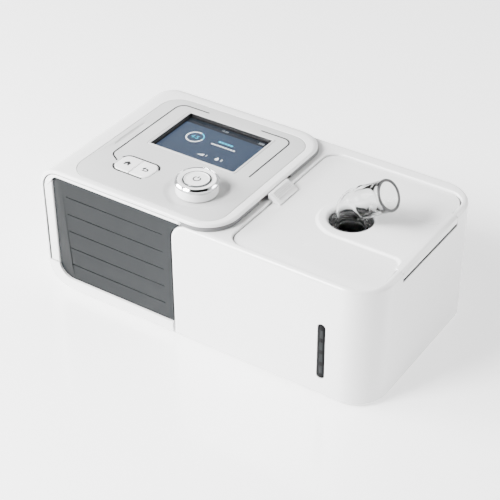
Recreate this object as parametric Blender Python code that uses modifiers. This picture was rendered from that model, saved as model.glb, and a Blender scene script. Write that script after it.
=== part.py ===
# Bedside positive-pressure ventilator with a built-in heated humidifier.
# Every place below is measured in metres from the case's front left corner at floor level:
# x to the right, y to the back, z up. One empty then moves all of it to the middle of the base.
import math

import bmesh
import bpy

# --- driving dimensions ---
CASE_WIDTH = 0.270
CASE_DEPTH = 0.1475
FOOT_HEIGHT = 0.002          # the case's underside stands this far off the table
BODY_TOP = 0.096             # top of the humidifier half
UNIT_TOP = 0.1024            # top of the control half, which stands proud of the humidifier
WALL = 0.0026                # casing wall
GAP = 0.0003                 # clearance between neighbours that touch

SPLIT_X = 0.1125             # left face of the humidifier housing
STEP_X = 0.1523              # right edge of the raised control top
PARTING_Z = 0.022            # casing halves meet here
BEZEL_INSET = 0.0034         # casing edge to bezel edge, on the front
PANEL_LEFT = 0.0108          # left edge of the grey front panel
PANEL_BOTTOM = 0.011
PANEL_TOP = 0.0964
HOUSING_CORNER = 0.025       # vertical corners on the right
HOUSING_SHOULDER = 0.014     # front view corner between humidifier and panel
TOP_CORNER = 0.024           # plan corner of the raised top
LEFT_TOP_ROUND = 0.017
LEFT_BOTTOM_ROUND = 0.020
BACK_TOP_ROUND = 0.012
BACK_CORNER = 0.018               # vertical corner at the back left

CONTROL_LOW = (0.0225, 0.0050)    # control panel, plan view
CONTROL_HIGH = (0.1456, 0.1306)
CONTROL_CORNER = 0.016
SCREEN_LOW = (0.0484, 0.0668)     # visible area, a 3.5 inch display
SCREEN_HIGH = (0.1194, 0.1164)
KEYS_LOW = (0.0442, 0.0255)
KEYS_HIGH = (0.0750, 0.0443)
KNOB = (0.1120, 0.0340)
KNOB_RADIUS = 0.0149
KNOB_TOP = 0.1121
DISH_RADIUS = 0.0245
DISH_DEPTH = 0.0013

LID_LOW = (0.1563, 0.0049)
LID_HIGH = (0.2643, 0.1361)
LID_CORNER = 0.011
LID_TOP = 0.0942
LID_THICKNESS = 0.0020
SEAM = 0.0006
HINGE = (0.2651, 0.0947)          # x and z of the lid's hinge line
HINGE_FRONT = 0.0370
HINGE_BACK = 0.1120
WRAP_BOTTOM = 0.0890              # the lid wraps over the right edge down to here
SLIT_BOTTOM = 0.0874
PIN_RADIUS = 0.0007

OUTLET = (0.2117, 0.0707)
OUTLET_HOLE = 0.0153
TONGUE_RADIUS = 0.0215
ELBOW_RADIUS = 0.0110             # 22 mm breathing connector
ELBOW_BORE = 0.0093
ELBOW_TILT = math.radians(33)
ELBOW_APEX = 0.1063               # where the two legs' centre lines meet
ELBOW_BEND = 0.012
ELBOW_REACH = 0.0324              # apex to mouth

LATCH_FRONT = 0.0590
LATCH_BACK = 0.0820

BLOWER = (0.0560, 0.0560)
BLOWER_RADIUS = 0.036
IMPELLER_RADIUS = 0.030
IMPELLER_BLADES = 11
DUCT = (0.0340, 0.0310)           # y and z where the duct leaves the blower
DUCT_RADIUS = 0.0100
DUCT_BORE = 0.0080
DUCT_PORT_Z = 0.0700              # z where the duct enters the tank

TANK_LOW = (0.1612, 0.0080)
TANK_HIGH = (0.2630, 0.1340)
TANK_TOP = 0.0857
TANK_BOTTOM = 0.0119
HEATER_RADIUS = 0.040
WELL_FRONT = 0.0110               # front of the hidden well under the raised top
FRAME_BACK = 0.1438            # the middle frame stays inside the rolled back edge
WINDOW_X = (0.2292, 0.2354)
WINDOW_Z = (0.0160, 0.0616)

FILTER_X = (0.020, 0.058)
FILTER_Z = (0.040, 0.074)
SOCKET = (0.085, 0.0135)          # x and z of the power socket, on the back

ARC = 6                           # straight pieces in a quarter round
ROUND = 24                        # sides of a small turned part
FINE_ROUND = 36                   # sides of a large turned part

FEET = {
    "foot_front_left": (0.030, 0.022),
    "foot_back_left": (0.030, 0.126),
    "foot_front_right": (0.246, 0.026),
    "foot_back_right": (0.246, 0.122),
}
SCREWS = {
    "case_screw_1": (0.060, 0.016),
    "case_screw_2": (0.060, 0.132),
    "case_screw_3": (0.098, 0.016),
    "case_screw_4": (0.098, 0.132),
}

for leftover in list(bpy.data.objects):
    bpy.data.objects.remove(leftover, do_unlink=True)

parts = bpy.data.collections.new("ventilator")
cutters = bpy.data.collections.new("cutters")
bpy.context.scene.collection.children.link(parts)
bpy.context.scene.collection.children.link(cutters)


# --- helpers ---
def empty_at(name, spot, parent=None):
    pivot = bpy.data.objects.new(name, None)
    pivot.empty_display_size = 0.01
    pivot.location = spot
    pivot.parent = parent
    parts.objects.link(pivot)
    return pivot


CORNER = empty_at("case_corner", (-CASE_WIDTH / 2, -CASE_DEPTH / 2, 0.0))


def place(name, mesh, spot, turn=(0.0, 0.0, 0.0), cutter=False):
    piece = bpy.data.objects.new(name, mesh)
    piece.location = spot
    piece.rotation_euler = turn
    piece.parent = CORNER
    if cutter:
        piece.hide_render = True
        piece.display_type = "WIRE"
        cutters.objects.link(piece)
    else:
        parts.objects.link(piece)
    return piece


def smooth(mesh, degrees=35):
    mesh.shade_smooth()
    mesh.set_sharp_from_angle(angle=math.radians(degrees))


def chosen_edges(bm, pattern, size):
    # one mark for each of x, y, z: "|" the edge runs this way, "-" or "+" it lies on that side,
    # "*" on either side, "." anything
    picked = []
    for edge in bm.edges:
        keep = True
        for axis, mark in enumerate(pattern):
            first, last = edge.verts[0].co[axis], edge.verts[1].co[axis]
            half = size[axis] / 2
            runs = abs(first - last) > 1e-6
            if mark == "|":
                keep = keep and runs
            elif mark in "-+*":
                side = {"-": (-half,), "+": (half,), "*": (-half, half)}[mark]
                keep = keep and not runs and any(abs(first - s) < 1e-6 for s in side)
        if keep:
            picked.append(edge)
    return picked


def block(name, low, high, rounds=(), cutter=False):
    # a box from corner to corner, with (pattern, radius, steps) for each set of rounded edges
    size = [b - a for a, b in zip(low, high)]
    bm = bmesh.new()
    bmesh.ops.create_cube(bm, size=1.0)
    bmesh.ops.scale(bm, vec=size, verts=bm.verts)
    for pattern, radius, steps in rounds:
        bmesh.ops.bevel(bm, geom=chosen_edges(bm, pattern, size), offset=radius,
                        offset_type="OFFSET", segments=steps, profile=0.5, affect="EDGES")
    mesh = bpy.data.meshes.new(name)
    bm.to_mesh(mesh)
    bm.free()
    smooth(mesh)
    middle = [(a + b) / 2 for a, b in zip(low, high)]
    return place(name, mesh, middle, cutter=cutter)


def arc(centre, radius, start, end, steps=ARC):
    # points on an arc, angles in degrees
    points = []
    for step in range(steps + 1):
        angle = math.radians(start + (end - start) * step / steps)
        points.append((centre[0] + radius * math.cos(angle), centre[1] + radius * math.sin(angle)))
    return points


def round_rect(low, high, radii, steps=ARC):
    # outline with its own radius at the low-low, high-low, high-high and low-high corners
    if not isinstance(radii, tuple):
        radii = (radii,) * 4
    corners = [(low[0], low[1], 1, 1, 180), (high[0], low[1], -1, 1, 270),
               (high[0], high[1], -1, -1, 0), (low[0], high[1], 1, -1, 90)]
    points = []
    for (x, y, right, up, start), radius in zip(corners, radii):
        if radius == 0:
            points.append((x, y))
        else:
            centre = (x + right * radius, y + up * radius)
            points += arc(centre, radius, start, start + 90, steps)
    return points


def solid_from_curve(name, curve, spot, turn, cutter):
    # a curve's own mesh, with its loose caps welded on
    scratch = bpy.data.objects.new("scratch", curve)
    bpy.context.scene.collection.objects.link(scratch)
    graph = bpy.context.evaluated_depsgraph_get()
    mesh = bpy.data.meshes.new_from_object(scratch.evaluated_get(graph))
    bpy.data.objects.remove(scratch, do_unlink=True)
    bpy.data.curves.remove(curve)
    mesh.name = name
    bm = bmesh.new()
    bm.from_mesh(mesh)
    bmesh.ops.remove_doubles(bm, verts=bm.verts, dist=1e-6)
    bmesh.ops.recalc_face_normals(bm, faces=bm.faces)
    bm.to_mesh(mesh)
    bm.free()
    smooth(mesh)
    return place(name, mesh, spot, turn, cutter)


def plate(name, outline, start, end, across="Z", cutter=False):
    # a flat outline made thick, from start to end along Z, Y or X
    curve = bpy.data.curves.new(name, "CURVE")
    curve.dimensions = "2D"
    curve.fill_mode = "BOTH"
    curve.extrude = (end - start) / 2
    spline = curve.splines.new("POLY")
    spline.points.add(len(outline) - 1)
    for point, (u, v) in zip(spline.points, outline):
        point.co = (u, v, 0.0, 1.0)
    spline.use_cyclic_u = True
    middle = (start + end) / 2
    quarter = math.pi / 2
    spots = {"Z": (0.0, 0.0, middle), "Y": (0.0, middle, 0.0), "X": (middle, 0.0, 0.0)}
    turns = {"Z": (0.0, 0.0, 0.0), "Y": (quarter, 0.0, 0.0), "X": (quarter, 0.0, quarter)}
    return solid_from_curve(name, curve, spots[across], turns[across], cutter)


def tube(name, path, radius, sides=4, cutter=False):
    # a round bar along the path
    curve = bpy.data.curves.new(name, "CURVE")
    curve.dimensions = "3D"
    curve.bevel_depth = radius
    curve.bevel_resolution = sides
    curve.use_fill_caps = True
    spline = curve.splines.new("POLY")
    spline.points.add(len(path) - 1)
    for point, spot in zip(spline.points, path):
        point.co = (*spot, 1.0)
    return solid_from_curve(name, curve, (0.0, 0.0, 0.0), (0.0, 0.0, 0.0), cutter)


def turned(name, profile, spot, sides=ROUND, turn=(0.0, 0.0, 0.0), cutter=False):
    # radius and height pairs turned round Z. A profile that meets the axis at both ends is left
    # open there, and any other is closed into a ring. It runs down its outer side.
    mesh = bpy.data.meshes.new(name)
    edges = [(i, i + 1) for i in range(len(profile) - 1)]
    if profile[0][0] > 0:
        edges.append((len(profile) - 1, 0))
    mesh.from_pydata([(radius, 0.0, height) for radius, height in profile], edges, [])
    piece = place(name, mesh, spot, turn, cutter)
    screw = piece.modifiers.new("turn", "SCREW")
    screw.axis = "Z"
    screw.steps = sides
    screw.render_steps = sides
    screw.use_merge_vertices = True
    screw.merge_threshold = 0.00001
    screw.use_smooth_shade = True
    return piece


def disc(name, spot, radius, low, high, sides=ROUND, cutter=False):
    # a plain round slab, between two heights
    profile = [(0.0, high), (radius, high), (radius, low), (0.0, low)]
    return turned(name, profile, (spot[0], spot[1], 0.0), sides, cutter=cutter)


def boolean(target, other, operation):
    step = target.modifiers.new(operation.lower() + "_" + other.name, "BOOLEAN")
    step.operation = operation
    step.solver = "EXACT"
    step.object = other


def cut(target, *others):
    for other in others:
        boolean(target, other, "DIFFERENCE")


def fuse(target, *others):
    for other in others:
        boolean(target, other, "UNION")


def keep_inside(target, *others):
    for other in others:
        boolean(target, other, "INTERSECT")


def hang(piece, pivot):
    # the piece keeps its place and follows the pivot
    piece.parent = pivot
    piece.location = piece.location - pivot.location


def material(name, colour, roughness, metallic=0.0, clear=0.0):
    paint = bpy.data.materials.new(name)
    paint.use_nodes = True
    shader = paint.node_tree.nodes["Principled BSDF"]
    shader.inputs["Base Color"].default_value = (*colour, 1.0)
    shader.inputs["Roughness"].default_value = roughness
    shader.inputs["Metallic"].default_value = metallic
    shader.inputs["Transmission Weight"].default_value = clear
    return paint


FINISHES = {
    "white": material("white_gloss_plastic", (0.86, 0.87, 0.87), 0.25),
    "panel": material("pale_control_plastic", (0.72, 0.74, 0.75), 0.35),
    "slate": material("slate_front_plastic", (0.10, 0.12, 0.14), 0.45),
    "shade": material("grey_frame_plastic", (0.35, 0.36, 0.37), 0.50),
    "dark": material("black_plastic", (0.02, 0.02, 0.022), 0.40),
    "chrome": material("chrome", (0.80, 0.80, 0.82), 0.08, metallic=1.0),
    "steel": material("stainless_steel", (0.60, 0.60, 0.60), 0.30, metallic=1.0),
    "glass": material("screen_glass", (0.02, 0.03, 0.05), 0.05),
    "display": material("display_face", (0.03, 0.06, 0.12), 0.20),
    "clear": material("clear_polycarbonate", (0.95, 0.97, 0.98), 0.03, clear=1.0),
    "smoke": material("smoked_lens", (0.08, 0.08, 0.09), 0.08, clear=0.6),
    "rubber": material("black_rubber", (0.03, 0.03, 0.03), 0.85),
    "silicone": material("pale_silicone", (0.70, 0.72, 0.72), 0.60),
    "foam": material("grey_foam", (0.18, 0.18, 0.19), 0.95),
    "filter": material("filter_fibre", (0.85, 0.85, 0.82), 0.95),
    "board": material("green_circuit_board", (0.02, 0.16, 0.07), 0.45),
}


def dress(finish, *pieces):
    for piece in pieces:
        piece.data.materials.clear()
        piece.data.materials.append(FINISHES[finish])


# --- casing of the control half ---
def casing_solid(name, inset, cutter=False):
    # the whole outer form, or the same form drawn in by the inset
    # three views of it, each a little larger where another one sets the face
    over = 0.0001
    front_view = round_rect((inset, FOOT_HEIGHT + inset), (CASE_WIDTH, UNIT_TOP - inset),
                            (LEFT_BOTTOM_ROUND - inset, 0, 0, LEFT_TOP_ROUND - inset))
    plan = round_rect((inset - over, inset), (STEP_X - inset, CASE_DEPTH - inset),
                      (0, TOP_CORNER - inset, TOP_CORNER - inset, BACK_CORNER - inset))
    side_view = round_rect((-0.01, -0.01), (CASE_DEPTH - inset + over, UNIT_TOP - inset + over),
                           (0, 0, BACK_TOP_ROUND - inset, 0))
    solid = plate(name, front_view, -0.01, CASE_DEPTH + 0.01, "Y", cutter=cutter)
    keep_inside(solid,
                plate(name + "_plan", plan, -0.01, 0.12, "Z", cutter=True),
                plate(name + "_side", side_view, -0.01, 0.17, "X", cutter=True))
    return solid


def below_step(name):
    # the room that the humidifier half takes under the raised top
    return block(name, (SPLIT_X - GAP, -0.01, -0.01), (0.2, 0.16, BODY_TOP + 0.0028), cutter=True)


def build_top_casing():
    casing = casing_solid("top_casing", 0.0)
    room = casing_solid("casing_room", WALL, cutter=True)
    front_mouth = block("front_mouth", (WALL + 0.0001, -0.01, -0.01),
                        (0.1214, 0.012, UNIT_TOP - WALL - 0.0001),
                        [("-|+", LEFT_TOP_ROUND - WALL, ARC)], cutter=True)
    lower = block("lower_half", (-0.01, -0.01, -0.01), (0.2, 0.16, PARTING_Z + GAP / 2), cutter=True)
    low, high = CONTROL_LOW, CONTROL_HIGH
    control_hole = plate("control_hole", round_rect([v - GAP for v in low], [v + GAP for v in high],
                                                    CONTROL_CORNER + GAP), 0.095, 0.11, cutter=True)
    filter_hole = block("filter_hole", (FILTER_X[0] - GAP, 0.14, FILTER_Z[0] - GAP),
                        (FILTER_X[1] + GAP, 0.16, FILTER_Z[1] + GAP), cutter=True)
    cut(casing, room, front_mouth, lower, below_step("top_step"), control_hole, filter_hole)
    dress("white", casing)


def build_base_tray():
    tray = casing_solid("base_tray", 0.0)
    room = casing_solid("tray_room", WALL, cutter=True)
    upper = block("upper_half", (-0.01, -0.01, PARTING_Z - GAP / 2), (0.2, 0.16, 0.12), cutter=True)
    mouth_outline = round_rect((PANEL_LEFT, PANEL_BOTTOM), (0.14, 0.06), (0.012, 0, 0, 0))
    mouth = plate("tray_mouth", mouth_outline, -0.01, 0.012, "Y", cutter=True)
    x, z = SOCKET
    socket_hole = turned("socket_hole", [(0, 0.01), (0.0059, 0.01), (0.0059, -0.01), (0, -0.01)],
                         (x, CASE_DEPTH, z), turn=(math.pi / 2, 0, 0), cutter=True)
    cut(tray, room, upper, below_step("tray_step"), mouth, socket_hole)
    for name in ("foot_front_left", "foot_back_left"):
        cut(tray, disc(name + "_seat", FEET[name], 0.0063, -0.01, 0.0032, cutter=True))
    for name, spot in SCREWS.items():
        head = disc(name + "_seat", spot, 0.0031, -0.01, 0.0036, cutter=True)
        shank = disc(name + "_hole", spot, 0.0017, 0.0, 0.02, 12, cutter=True)
        cut(tray, head, shank)
    dress("white", tray)


def build_front_bezel():
    # the white lip inside the casing edge: left side and top, up to the humidifier's shoulder
    inset = BEZEL_INSET
    outline = round_rect((inset, PARTING_Z + GAP), (0.1210, UNIT_TOP - inset),
                         (0, 0, 0, LEFT_TOP_ROUND - inset))
    bezel = plate("front_bezel", outline, 0.0004, 0.0066, "Y")
    opening = plate("bezel_opening", round_rect((PANEL_LEFT, 0.0), (0.15, PANEL_TOP), (0, 0, 0, 0.006)),
                    -0.01, 0.02, "Y", cutter=True)
    cut(bezel, opening)
    dress("white", bezel)


def build_front_panel():
    left, bottom, top = PANEL_LEFT + GAP, PANEL_BOTTOM + GAP, PANEL_TOP - GAP
    right = SPLIT_X - GAP
    radius = HOUSING_SHOULDER + GAP
    centre = (SPLIT_X + HOUSING_SHOULDER, BODY_TOP - HOUSING_SHOULDER)
    end = math.degrees(math.acos((0.1240 - centre[0]) / radius))
    outline = arc((left + 0.012, bottom + 0.012), 0.012, 180, 270)
    outline += [(right, bottom)] + arc(centre, radius, 180, end) + [(0.1240, top)]
    outline += arc((left + 0.006, top - 0.006), 0.006, 90, 180)
    panel = plate("front_panel", outline, 0.0014, 0.0044, "Y")
    for row in range(5):
        height = 0.0245 + row * 0.0145
        cut(panel, block(f"groove_{row}", (0.0222, -0.01, height - 0.0004),
                         (0.1054, 0.0019, height + 0.0004), cutter=True))
    dress("slate", panel)


def build_middle_frame():
    # the narrow ring that carries the raised top, with a recess beside the latch
    low, high = BODY_TOP + GAP, BODY_TOP + 0.0025
    outline = round_rect((SPLIT_X + GAP, 0.0006), (STEP_X - 0.0006, FRAME_BACK),
                         (0, TOP_CORNER, 0.0205, 0))
    frame = plate("middle_frame", outline, low, high)
    cut(frame,
        plate("frame_room", round_rect((0.10, WELL_FRONT), (0.1445, 0.1360), (0, 0.014, 0.014, 0)),
              0.08, 0.11, cutter=True),
        block("bezel_room", (0.10, -0.01, 0.08), (0.1214, 0.0140, 0.11), cutter=True),
        block("latch_recess", (0.1475, 0.0500, 0.09), (0.16, 0.0900, 0.11),
              [("-*|", 0.003, 3)], cutter=True))
    dress("shade", frame)


# --- controls ---
def build_control_panel():
    x, y = KNOB
    panel = plate("control_panel", round_rect(CONTROL_LOW, CONTROL_HIGH, CONTROL_CORNER),
                  UNIT_TOP - WALL, UNIT_TOP)
    dish_floor = UNIT_TOP - DISH_DEPTH
    dish = turned("dish", [(0, 0.01), (DISH_RADIUS, 0.01), (DISH_RADIUS, DISH_DEPTH),
                           (DISH_RADIUS - 0.002, 0), (0, 0)], (x, y, dish_floor), FINE_ROUND, cutter=True)
    bush = disc("bush_hole", KNOB, 0.0045, 0.09, 0.11, cutter=True)
    low, high = SCREEN_LOW, SCREEN_HIGH
    surround = 0.0024
    screen = block("screen_hole", (low[0] - surround, low[1] - surround, 0.09),
                   (high[0] + surround, high[1] + surround, 0.11), [("**|", 0.002, 2)], cutter=True)
    keys = block("keys_hole", (*KEYS_LOW, 0.09), (*KEYS_HIGH, 0.11), [("**|", 0.006, 4)], cutter=True)
    scoop = block("scoop", (0.0268, 0.0500, UNIT_TOP - 0.0008), (0.0298, 0.0875, 0.11),
                  [("**|", 0.0014, 3)], cutter=True)
    cut(panel, dish, bush, screen, keys, scoop)
    dress("panel", panel)


def build_display():
    low, high = SCREEN_LOW, SCREEN_HIGH
    margin = 0.0021
    ring = block("screen_bezel", (low[0] - margin, low[1] - margin, 0.1000),
                 (high[0] + margin, high[1] + margin, UNIT_TOP), [("**|", 0.0018, 2)])
    # the opening narrows downwards to the glass
    sight = block("screen_sight", (low[0], low[1], 0.09), (high[0], high[1], 0.11), cutter=True)
    flare = block("screen_flare", (low[0] - 0.0009, low[1] - 0.0009, 0.1014),
                  (high[0] + 0.0009, high[1] + 0.0009, 0.11), cutter=True)
    cut(ring, sight, flare)
    window = block("screen_window", (low[0] - 0.0019, low[1] - 0.0019, 0.0987),
                   (high[0] + 0.0019, high[1] + 0.0019, 0.0997))
    module = block("display_module", (0.0450, 0.0635, 0.0935), (0.1230, 0.1195, 0.0984),
                   [("***", 0.0005, 1)])
    board = block("display_board", (0.0260, 0.0140, 0.0890), (0.1400, 0.1260, 0.0906),
                  [("+*|", 0.010, 2)])
    dress("panel", ring)
    dress("glass", window)
    dress("display", module)
    dress("board", board)


def build_keys():
    middle = (KEYS_LOW[0] + KEYS_HIGH[0]) / 2
    gap = 0.0004
    low, high = 0.0986, UNIT_TOP + 0.0006
    front, back = KEYS_LOW[1] + gap, KEYS_HIGH[1] - gap
    home = block("home_key", (KEYS_LOW[0] + gap, front, low), (middle - gap / 2, back, high),
                 [("-*|", 0.0056, 4), ("..+", 0.0004, 1)])
    back_key = block("back_key", (middle + gap / 2, front, low), (KEYS_HIGH[0] - gap, back, high),
                     [("+*|", 0.0056, 4), ("..+", 0.0004, 1)])
    mat = block("key_mat", (0.0430, 0.0240, 0.0950), (0.0762, 0.0458, 0.0974), [("**|", 0.003, 2)])
    dress("white", home, back_key)
    dress("silicone", mat)


def build_knob():
    x, y = KNOB
    axis = (x, y, 0.0)
    body = turned("knob_body", [
        (0.0099, 0.1119), (0.0134, 0.1119), (0.0134, 0.1086), (KNOB_RADIUS, 0.1082),
        (KNOB_RADIUS, 0.1024), (0.0143, 0.1016), (0.0039, 0.1016), (0.0039, 0.1040),
        (0.0029, 0.1040), (0.0029, 0.1054), (0.0099, 0.1054)], axis, FINE_ROUND)
    ring = turned("knob_ring", [
        (0.0137, KNOB_TOP), (0.0148, KNOB_TOP), (0.0154, 0.1115), (0.0154, 0.1092),
        (0.0151, 0.1086), (0.0137, 0.1089)], axis, FINE_ROUND)
    shaft = turned("encoder_shaft", [
        (0.0026, 0.1037), (0.0036, 0.1037), (0.0036, 0.0979), (0.0026, 0.0979)], axis, 16)
    button = turned("start_button", [
        (0.0, 0.1120), (0.0090, 0.1119), (0.0096, 0.1114), (0.0096, 0.1066), (0.0023, 0.1066),
        (0.0023, 0.0930), (0.0, 0.0930)], axis, ROUND)
    encoder = block("encoder_body", (x - 0.0065, y - 0.0065, 0.0909), (x + 0.0065, y + 0.0065, 0.0976))
    cut(encoder, disc("encoder_bore", KNOB, 0.0027, 0.0918, 0.11, 16, cutter=True))
    turning = empty_at("knob_axis", axis, CORNER)
    pressing = empty_at("start_axis", axis, CORNER)
    for piece in (body, ring, shaft):
        hang(piece, turning)
    hang(button, pressing)
    dress("white", body, button)
    dress("chrome", ring)
    dress("steel", shaft)
    dress("shade", encoder)


# --- blower and air path ---
def build_blower():
    x, y = BLOWER
    inner = BLOWER_RADIUS - 0.003
    base = disc("blower_base", BLOWER, BLOWER_RADIUS, 0.0220, 0.0400, FINE_ROUND)
    outlet_y, outlet_z = DUCT
    outlet = turned("blower_outlet", [(0, 0.0), (0.0085, 0.0), (0.0085, -0.040), (0, -0.040)],
                    (x + 0.038, outlet_y, outlet_z), turn=(0, math.pi / 2, 0), cutter=True)
    outlet_bore = turned("outlet_bore", [(0, 0.01), (0.0068, 0.01), (0.0068, -0.041), (0, -0.041)],
                         (x + 0.038, outlet_y, outlet_z), turn=(0, math.pi / 2, 0), cutter=True)
    fuse(base, outlet)
    cut(base, disc("volute_room", BLOWER, inner, 0.0245, 0.06, FINE_ROUND, cutter=True),
        disc("shaft_hole", BLOWER, 0.0035, 0.0, 0.06, 16, cutter=True), outlet_bore)
    cover = turned("blower_cover", [(0.010, 0.0428), (BLOWER_RADIUS, 0.0428),
                                    (BLOWER_RADIUS, 0.0403), (0.010, 0.0403)], (x, y, 0.0), FINE_ROUND)
    motor = turned("motor_can", [
        (0.0022, 0.0217), (0.0158, 0.0217), (0.0168, 0.0207), (0.0168, 0.0062),
        (0.0158, 0.0052), (0.0022, 0.0052)], (x, y, 0.0), ROUND)
    damper = turned("motor_damper", [
        (0.0171, 0.0180), (0.0205, 0.0180), (0.0205, 0.0110), (0.0171, 0.0110)], (x, y, 0.0), ROUND)
    dress("shade", base, cover)
    dress("steel", motor)
    dress("rubber", damper)


def build_rotor():
    x, y = BLOWER
    shaft = turned("rotor_shaft", [(0, 0.0372), (0.0015, 0.0372), (0.0015, 0.0065), (0, 0.0065)],
                   (x, y, 0.0), 12)
    wheel = turned("impeller", [
        (0.0018, 0.0370), (0.0050, 0.0370), (0.0062, 0.0285), (IMPELLER_RADIUS, 0.0277),
        (IMPELLER_RADIUS, 0.0262), (0.0018, 0.0262)], (x, y, 0.0), FINE_ROUND)
    for blade in range(IMPELLER_BLADES):
        vane = block(f"vane_{blade}", (0.0048, -0.0005, 0.0268), (IMPELLER_RADIUS - 0.0008, 0.0005, 0.0355),
                     cutter=True)
        # the blades lean back from the radius
        turn = 2 * math.pi * blade / IMPELLER_BLADES
        lean = math.radians(14)
        middle = (0.0048 + IMPELLER_RADIUS - 0.0008) / 2
        vane.rotation_euler = (0, 0, turn + lean)
        vane.location = (x + middle * math.cos(turn), y + middle * math.sin(turn), 0.03115)
        fuse(wheel, vane)
    spin = empty_at("rotor_axis", (x, y, 0.0), CORNER)
    hang(shaft, spin)
    hang(wheel, spin)
    dress("steel", shaft)
    dress("dark", wheel)


def build_air_path():
    foam = block("silencer_foam", (0.0080, 0.1000, 0.0240), (0.1000, 0.1330, 0.0560), [("**|", 0.004, 2)])
    cut(foam, block("foam_channel", (0.0200, 0.09, 0.0400), (0.0580, 0.15, 0.0500), cutter=True))
    pad = block("inlet_filter", (FILTER_X[0] + 0.001, 0.1395, FILTER_Z[0] + 0.001),
                (FILTER_X[1] - 0.001, 0.1440, FILTER_Z[1] - 0.001))
    door = block("filter_door", (FILTER_X[0], 0.1448, FILTER_Z[0]), (FILTER_X[1], 0.1470, FILTER_Z[1]),
                 [("|+*", 0.0008, 2)])
    slots = 6
    pitch = (FILTER_Z[1] - FILTER_Z[0] - 0.008) / slots
    for slot in range(slots):
        low = FILTER_Z[0] + 0.005 + slot * pitch
        cut(door, block(f"door_slot_{slot}", (FILTER_X[0] + 0.005, 0.14, low),
                        (FILTER_X[1] - 0.005, 0.15, low + 0.0024), cutter=True))
    hang(door, empty_at("door_hinge", (FILTER_X[0], 0.1462, FILTER_Z[0] + 0.0008), CORNER))

    y, z = DUCT
    top = DUCT_PORT_Z
    run = [(0.0950, z), (0.1180, z), (0.1255, z + 0.0030), (0.1300, z + 0.0100), (0.1325, top - 0.0120),
           (0.1365, top - 0.0040), (0.1430, top), (0.1580, top)]
    duct = tube("outlet_duct", [(x, y, height) for x, height in run], DUCT_RADIUS, 3)
    long_run = [(0.0900, z)] + run + [(0.1700, top)]
    cut(duct, tube("duct_room", [(x, y, height) for x, height in long_run], DUCT_BORE, 3, cutter=True))
    thick = 0.0025
    seal = turned("duct_seal", [(DUCT_BORE, thick), (DUCT_RADIUS, thick), (DUCT_RADIUS, 0.0),
                                (DUCT_BORE, 0.0)], (0.1583, y, top), turn=(0, math.pi / 2, 0))
    dress("foam", foam)
    dress("filter", pad)
    dress("white", door)
    dress("clear", duct)
    dress("silicone", seal)


def build_electrics():
    board = block("main_board", (0.0080, 0.0120, 0.0620), (0.1040, 0.0920, 0.0636))
    power = block("power_board", (0.0650, 0.1000, 0.0060), (0.1040, 0.1260, 0.0076))
    x, z = SOCKET
    barrel = turned("dc_inlet", [
        (0.0, 0.0020), (0.0055, 0.0020), (0.0055, -0.0100), (0.0031, -0.0100), (0.0031, 0.0),
        (0.0010, 0.0), (0.0010, -0.0080), (0.0, -0.0080)], (x, 0.1370, z), 16,
        turn=(math.pi / 2, 0, 0))
    dress("board", board, power)
    dress("dark", barrel)


# --- humidifier half ---
def build_humidifier_housing():
    low = (SPLIT_X, 0.0, FOOT_HEIGHT)
    high = (CASE_WIDTH, CASE_DEPTH, BODY_TOP)
    housing = block("humidifier_housing", low, high,
                    [("+*|", HOUSING_CORNER, 8), ("--|", 0.004, 3), ("..+", 0.0028, 3), ("..-", 0.002, 2)])
    room = block("housing_room", [v + WALL for v in low], [v - WALL for v in high],
                 [("-|+", HOUSING_SHOULDER - WALL, ARC), ("+*|", HOUSING_CORNER - WALL, 8)], cutter=True)
    shoulder = (SPLIT_X + HOUSING_SHOULDER, BODY_TOP - HOUSING_SHOULDER)
    outline = [(0.10, shoulder[1])] + arc(shoulder, HOUSING_SHOULDER, 180, 90)
    outline += [(shoulder[0], 0.11), (0.10, 0.11)]
    outside_shoulder = plate("outside_shoulder", outline, -0.01, WELL_FRONT, "Y", cutter=True)
    mouth_low = (LID_LOW[0] - SEAM, LID_LOW[1] - SEAM)
    # a little more room at the right, for the lid's edge as it swings up
    mouth_high = (HINGE[0] + 0.0002, LID_HIGH[1] + SEAM)
    mouth = plate("lid_mouth", round_rect(mouth_low, mouth_high, LID_CORNER + SEAM), 0.088, 0.11,
                  cutter=True)
    notch = block("hinge_notch", (0.2550, HINGE_FRONT - 0.0004, SLIT_BOTTOM),
                  (0.2800, HINGE_BACK + 0.0004, 0.11), cutter=True)
    # the controls hang down into this well, which the raised top covers
    hidden = block("control_well", (0.1100, WELL_FRONT, 0.0840), (0.1450, 0.1360, 0.11),
                   [("+*|", 0.014, 4)], cutter=True)
    duct_hole = turned("duct_hole", [(0, 0.01), (0.0106, 0.01), (0.0106, -0.01), (0, -0.01)],
                       (SPLIT_X, *DUCT), turn=(0, math.pi / 2, 0), cutter=True)
    window = block("window_hole", (WINDOW_X[0], -0.01, WINDOW_Z[0]), (WINDOW_X[1], 0.01, WINDOW_Z[1]),
                   [("*|*", 0.00305, 4)], cutter=True)
    pin_seat = hinge_bar("pin_seat", PIN_RADIUS + GAP, HINGE_FRONT - 0.0040, HINGE_BACK + 0.0040,
                         cutter=True)
    cut(housing, mouth, outside_shoulder, room, notch, hidden, duct_hole, window, pin_seat)
    for name in ("foot_front_right", "foot_back_right"):
        cut(housing, disc(name + "_seat", FEET[name], 0.0063, -0.01, 0.0032, cutter=True))
    dress("white", housing)


def hinge_bar(name, radius, front, back, cutter=False):
    length = back - front
    x, z = HINGE
    return turned(name, [(0, length), (radius, length), (radius, 0), (0, 0)], (x, back, z), 12,
                  turn=(math.pi / 2, 0, 0), cutter=cutter)


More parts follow.
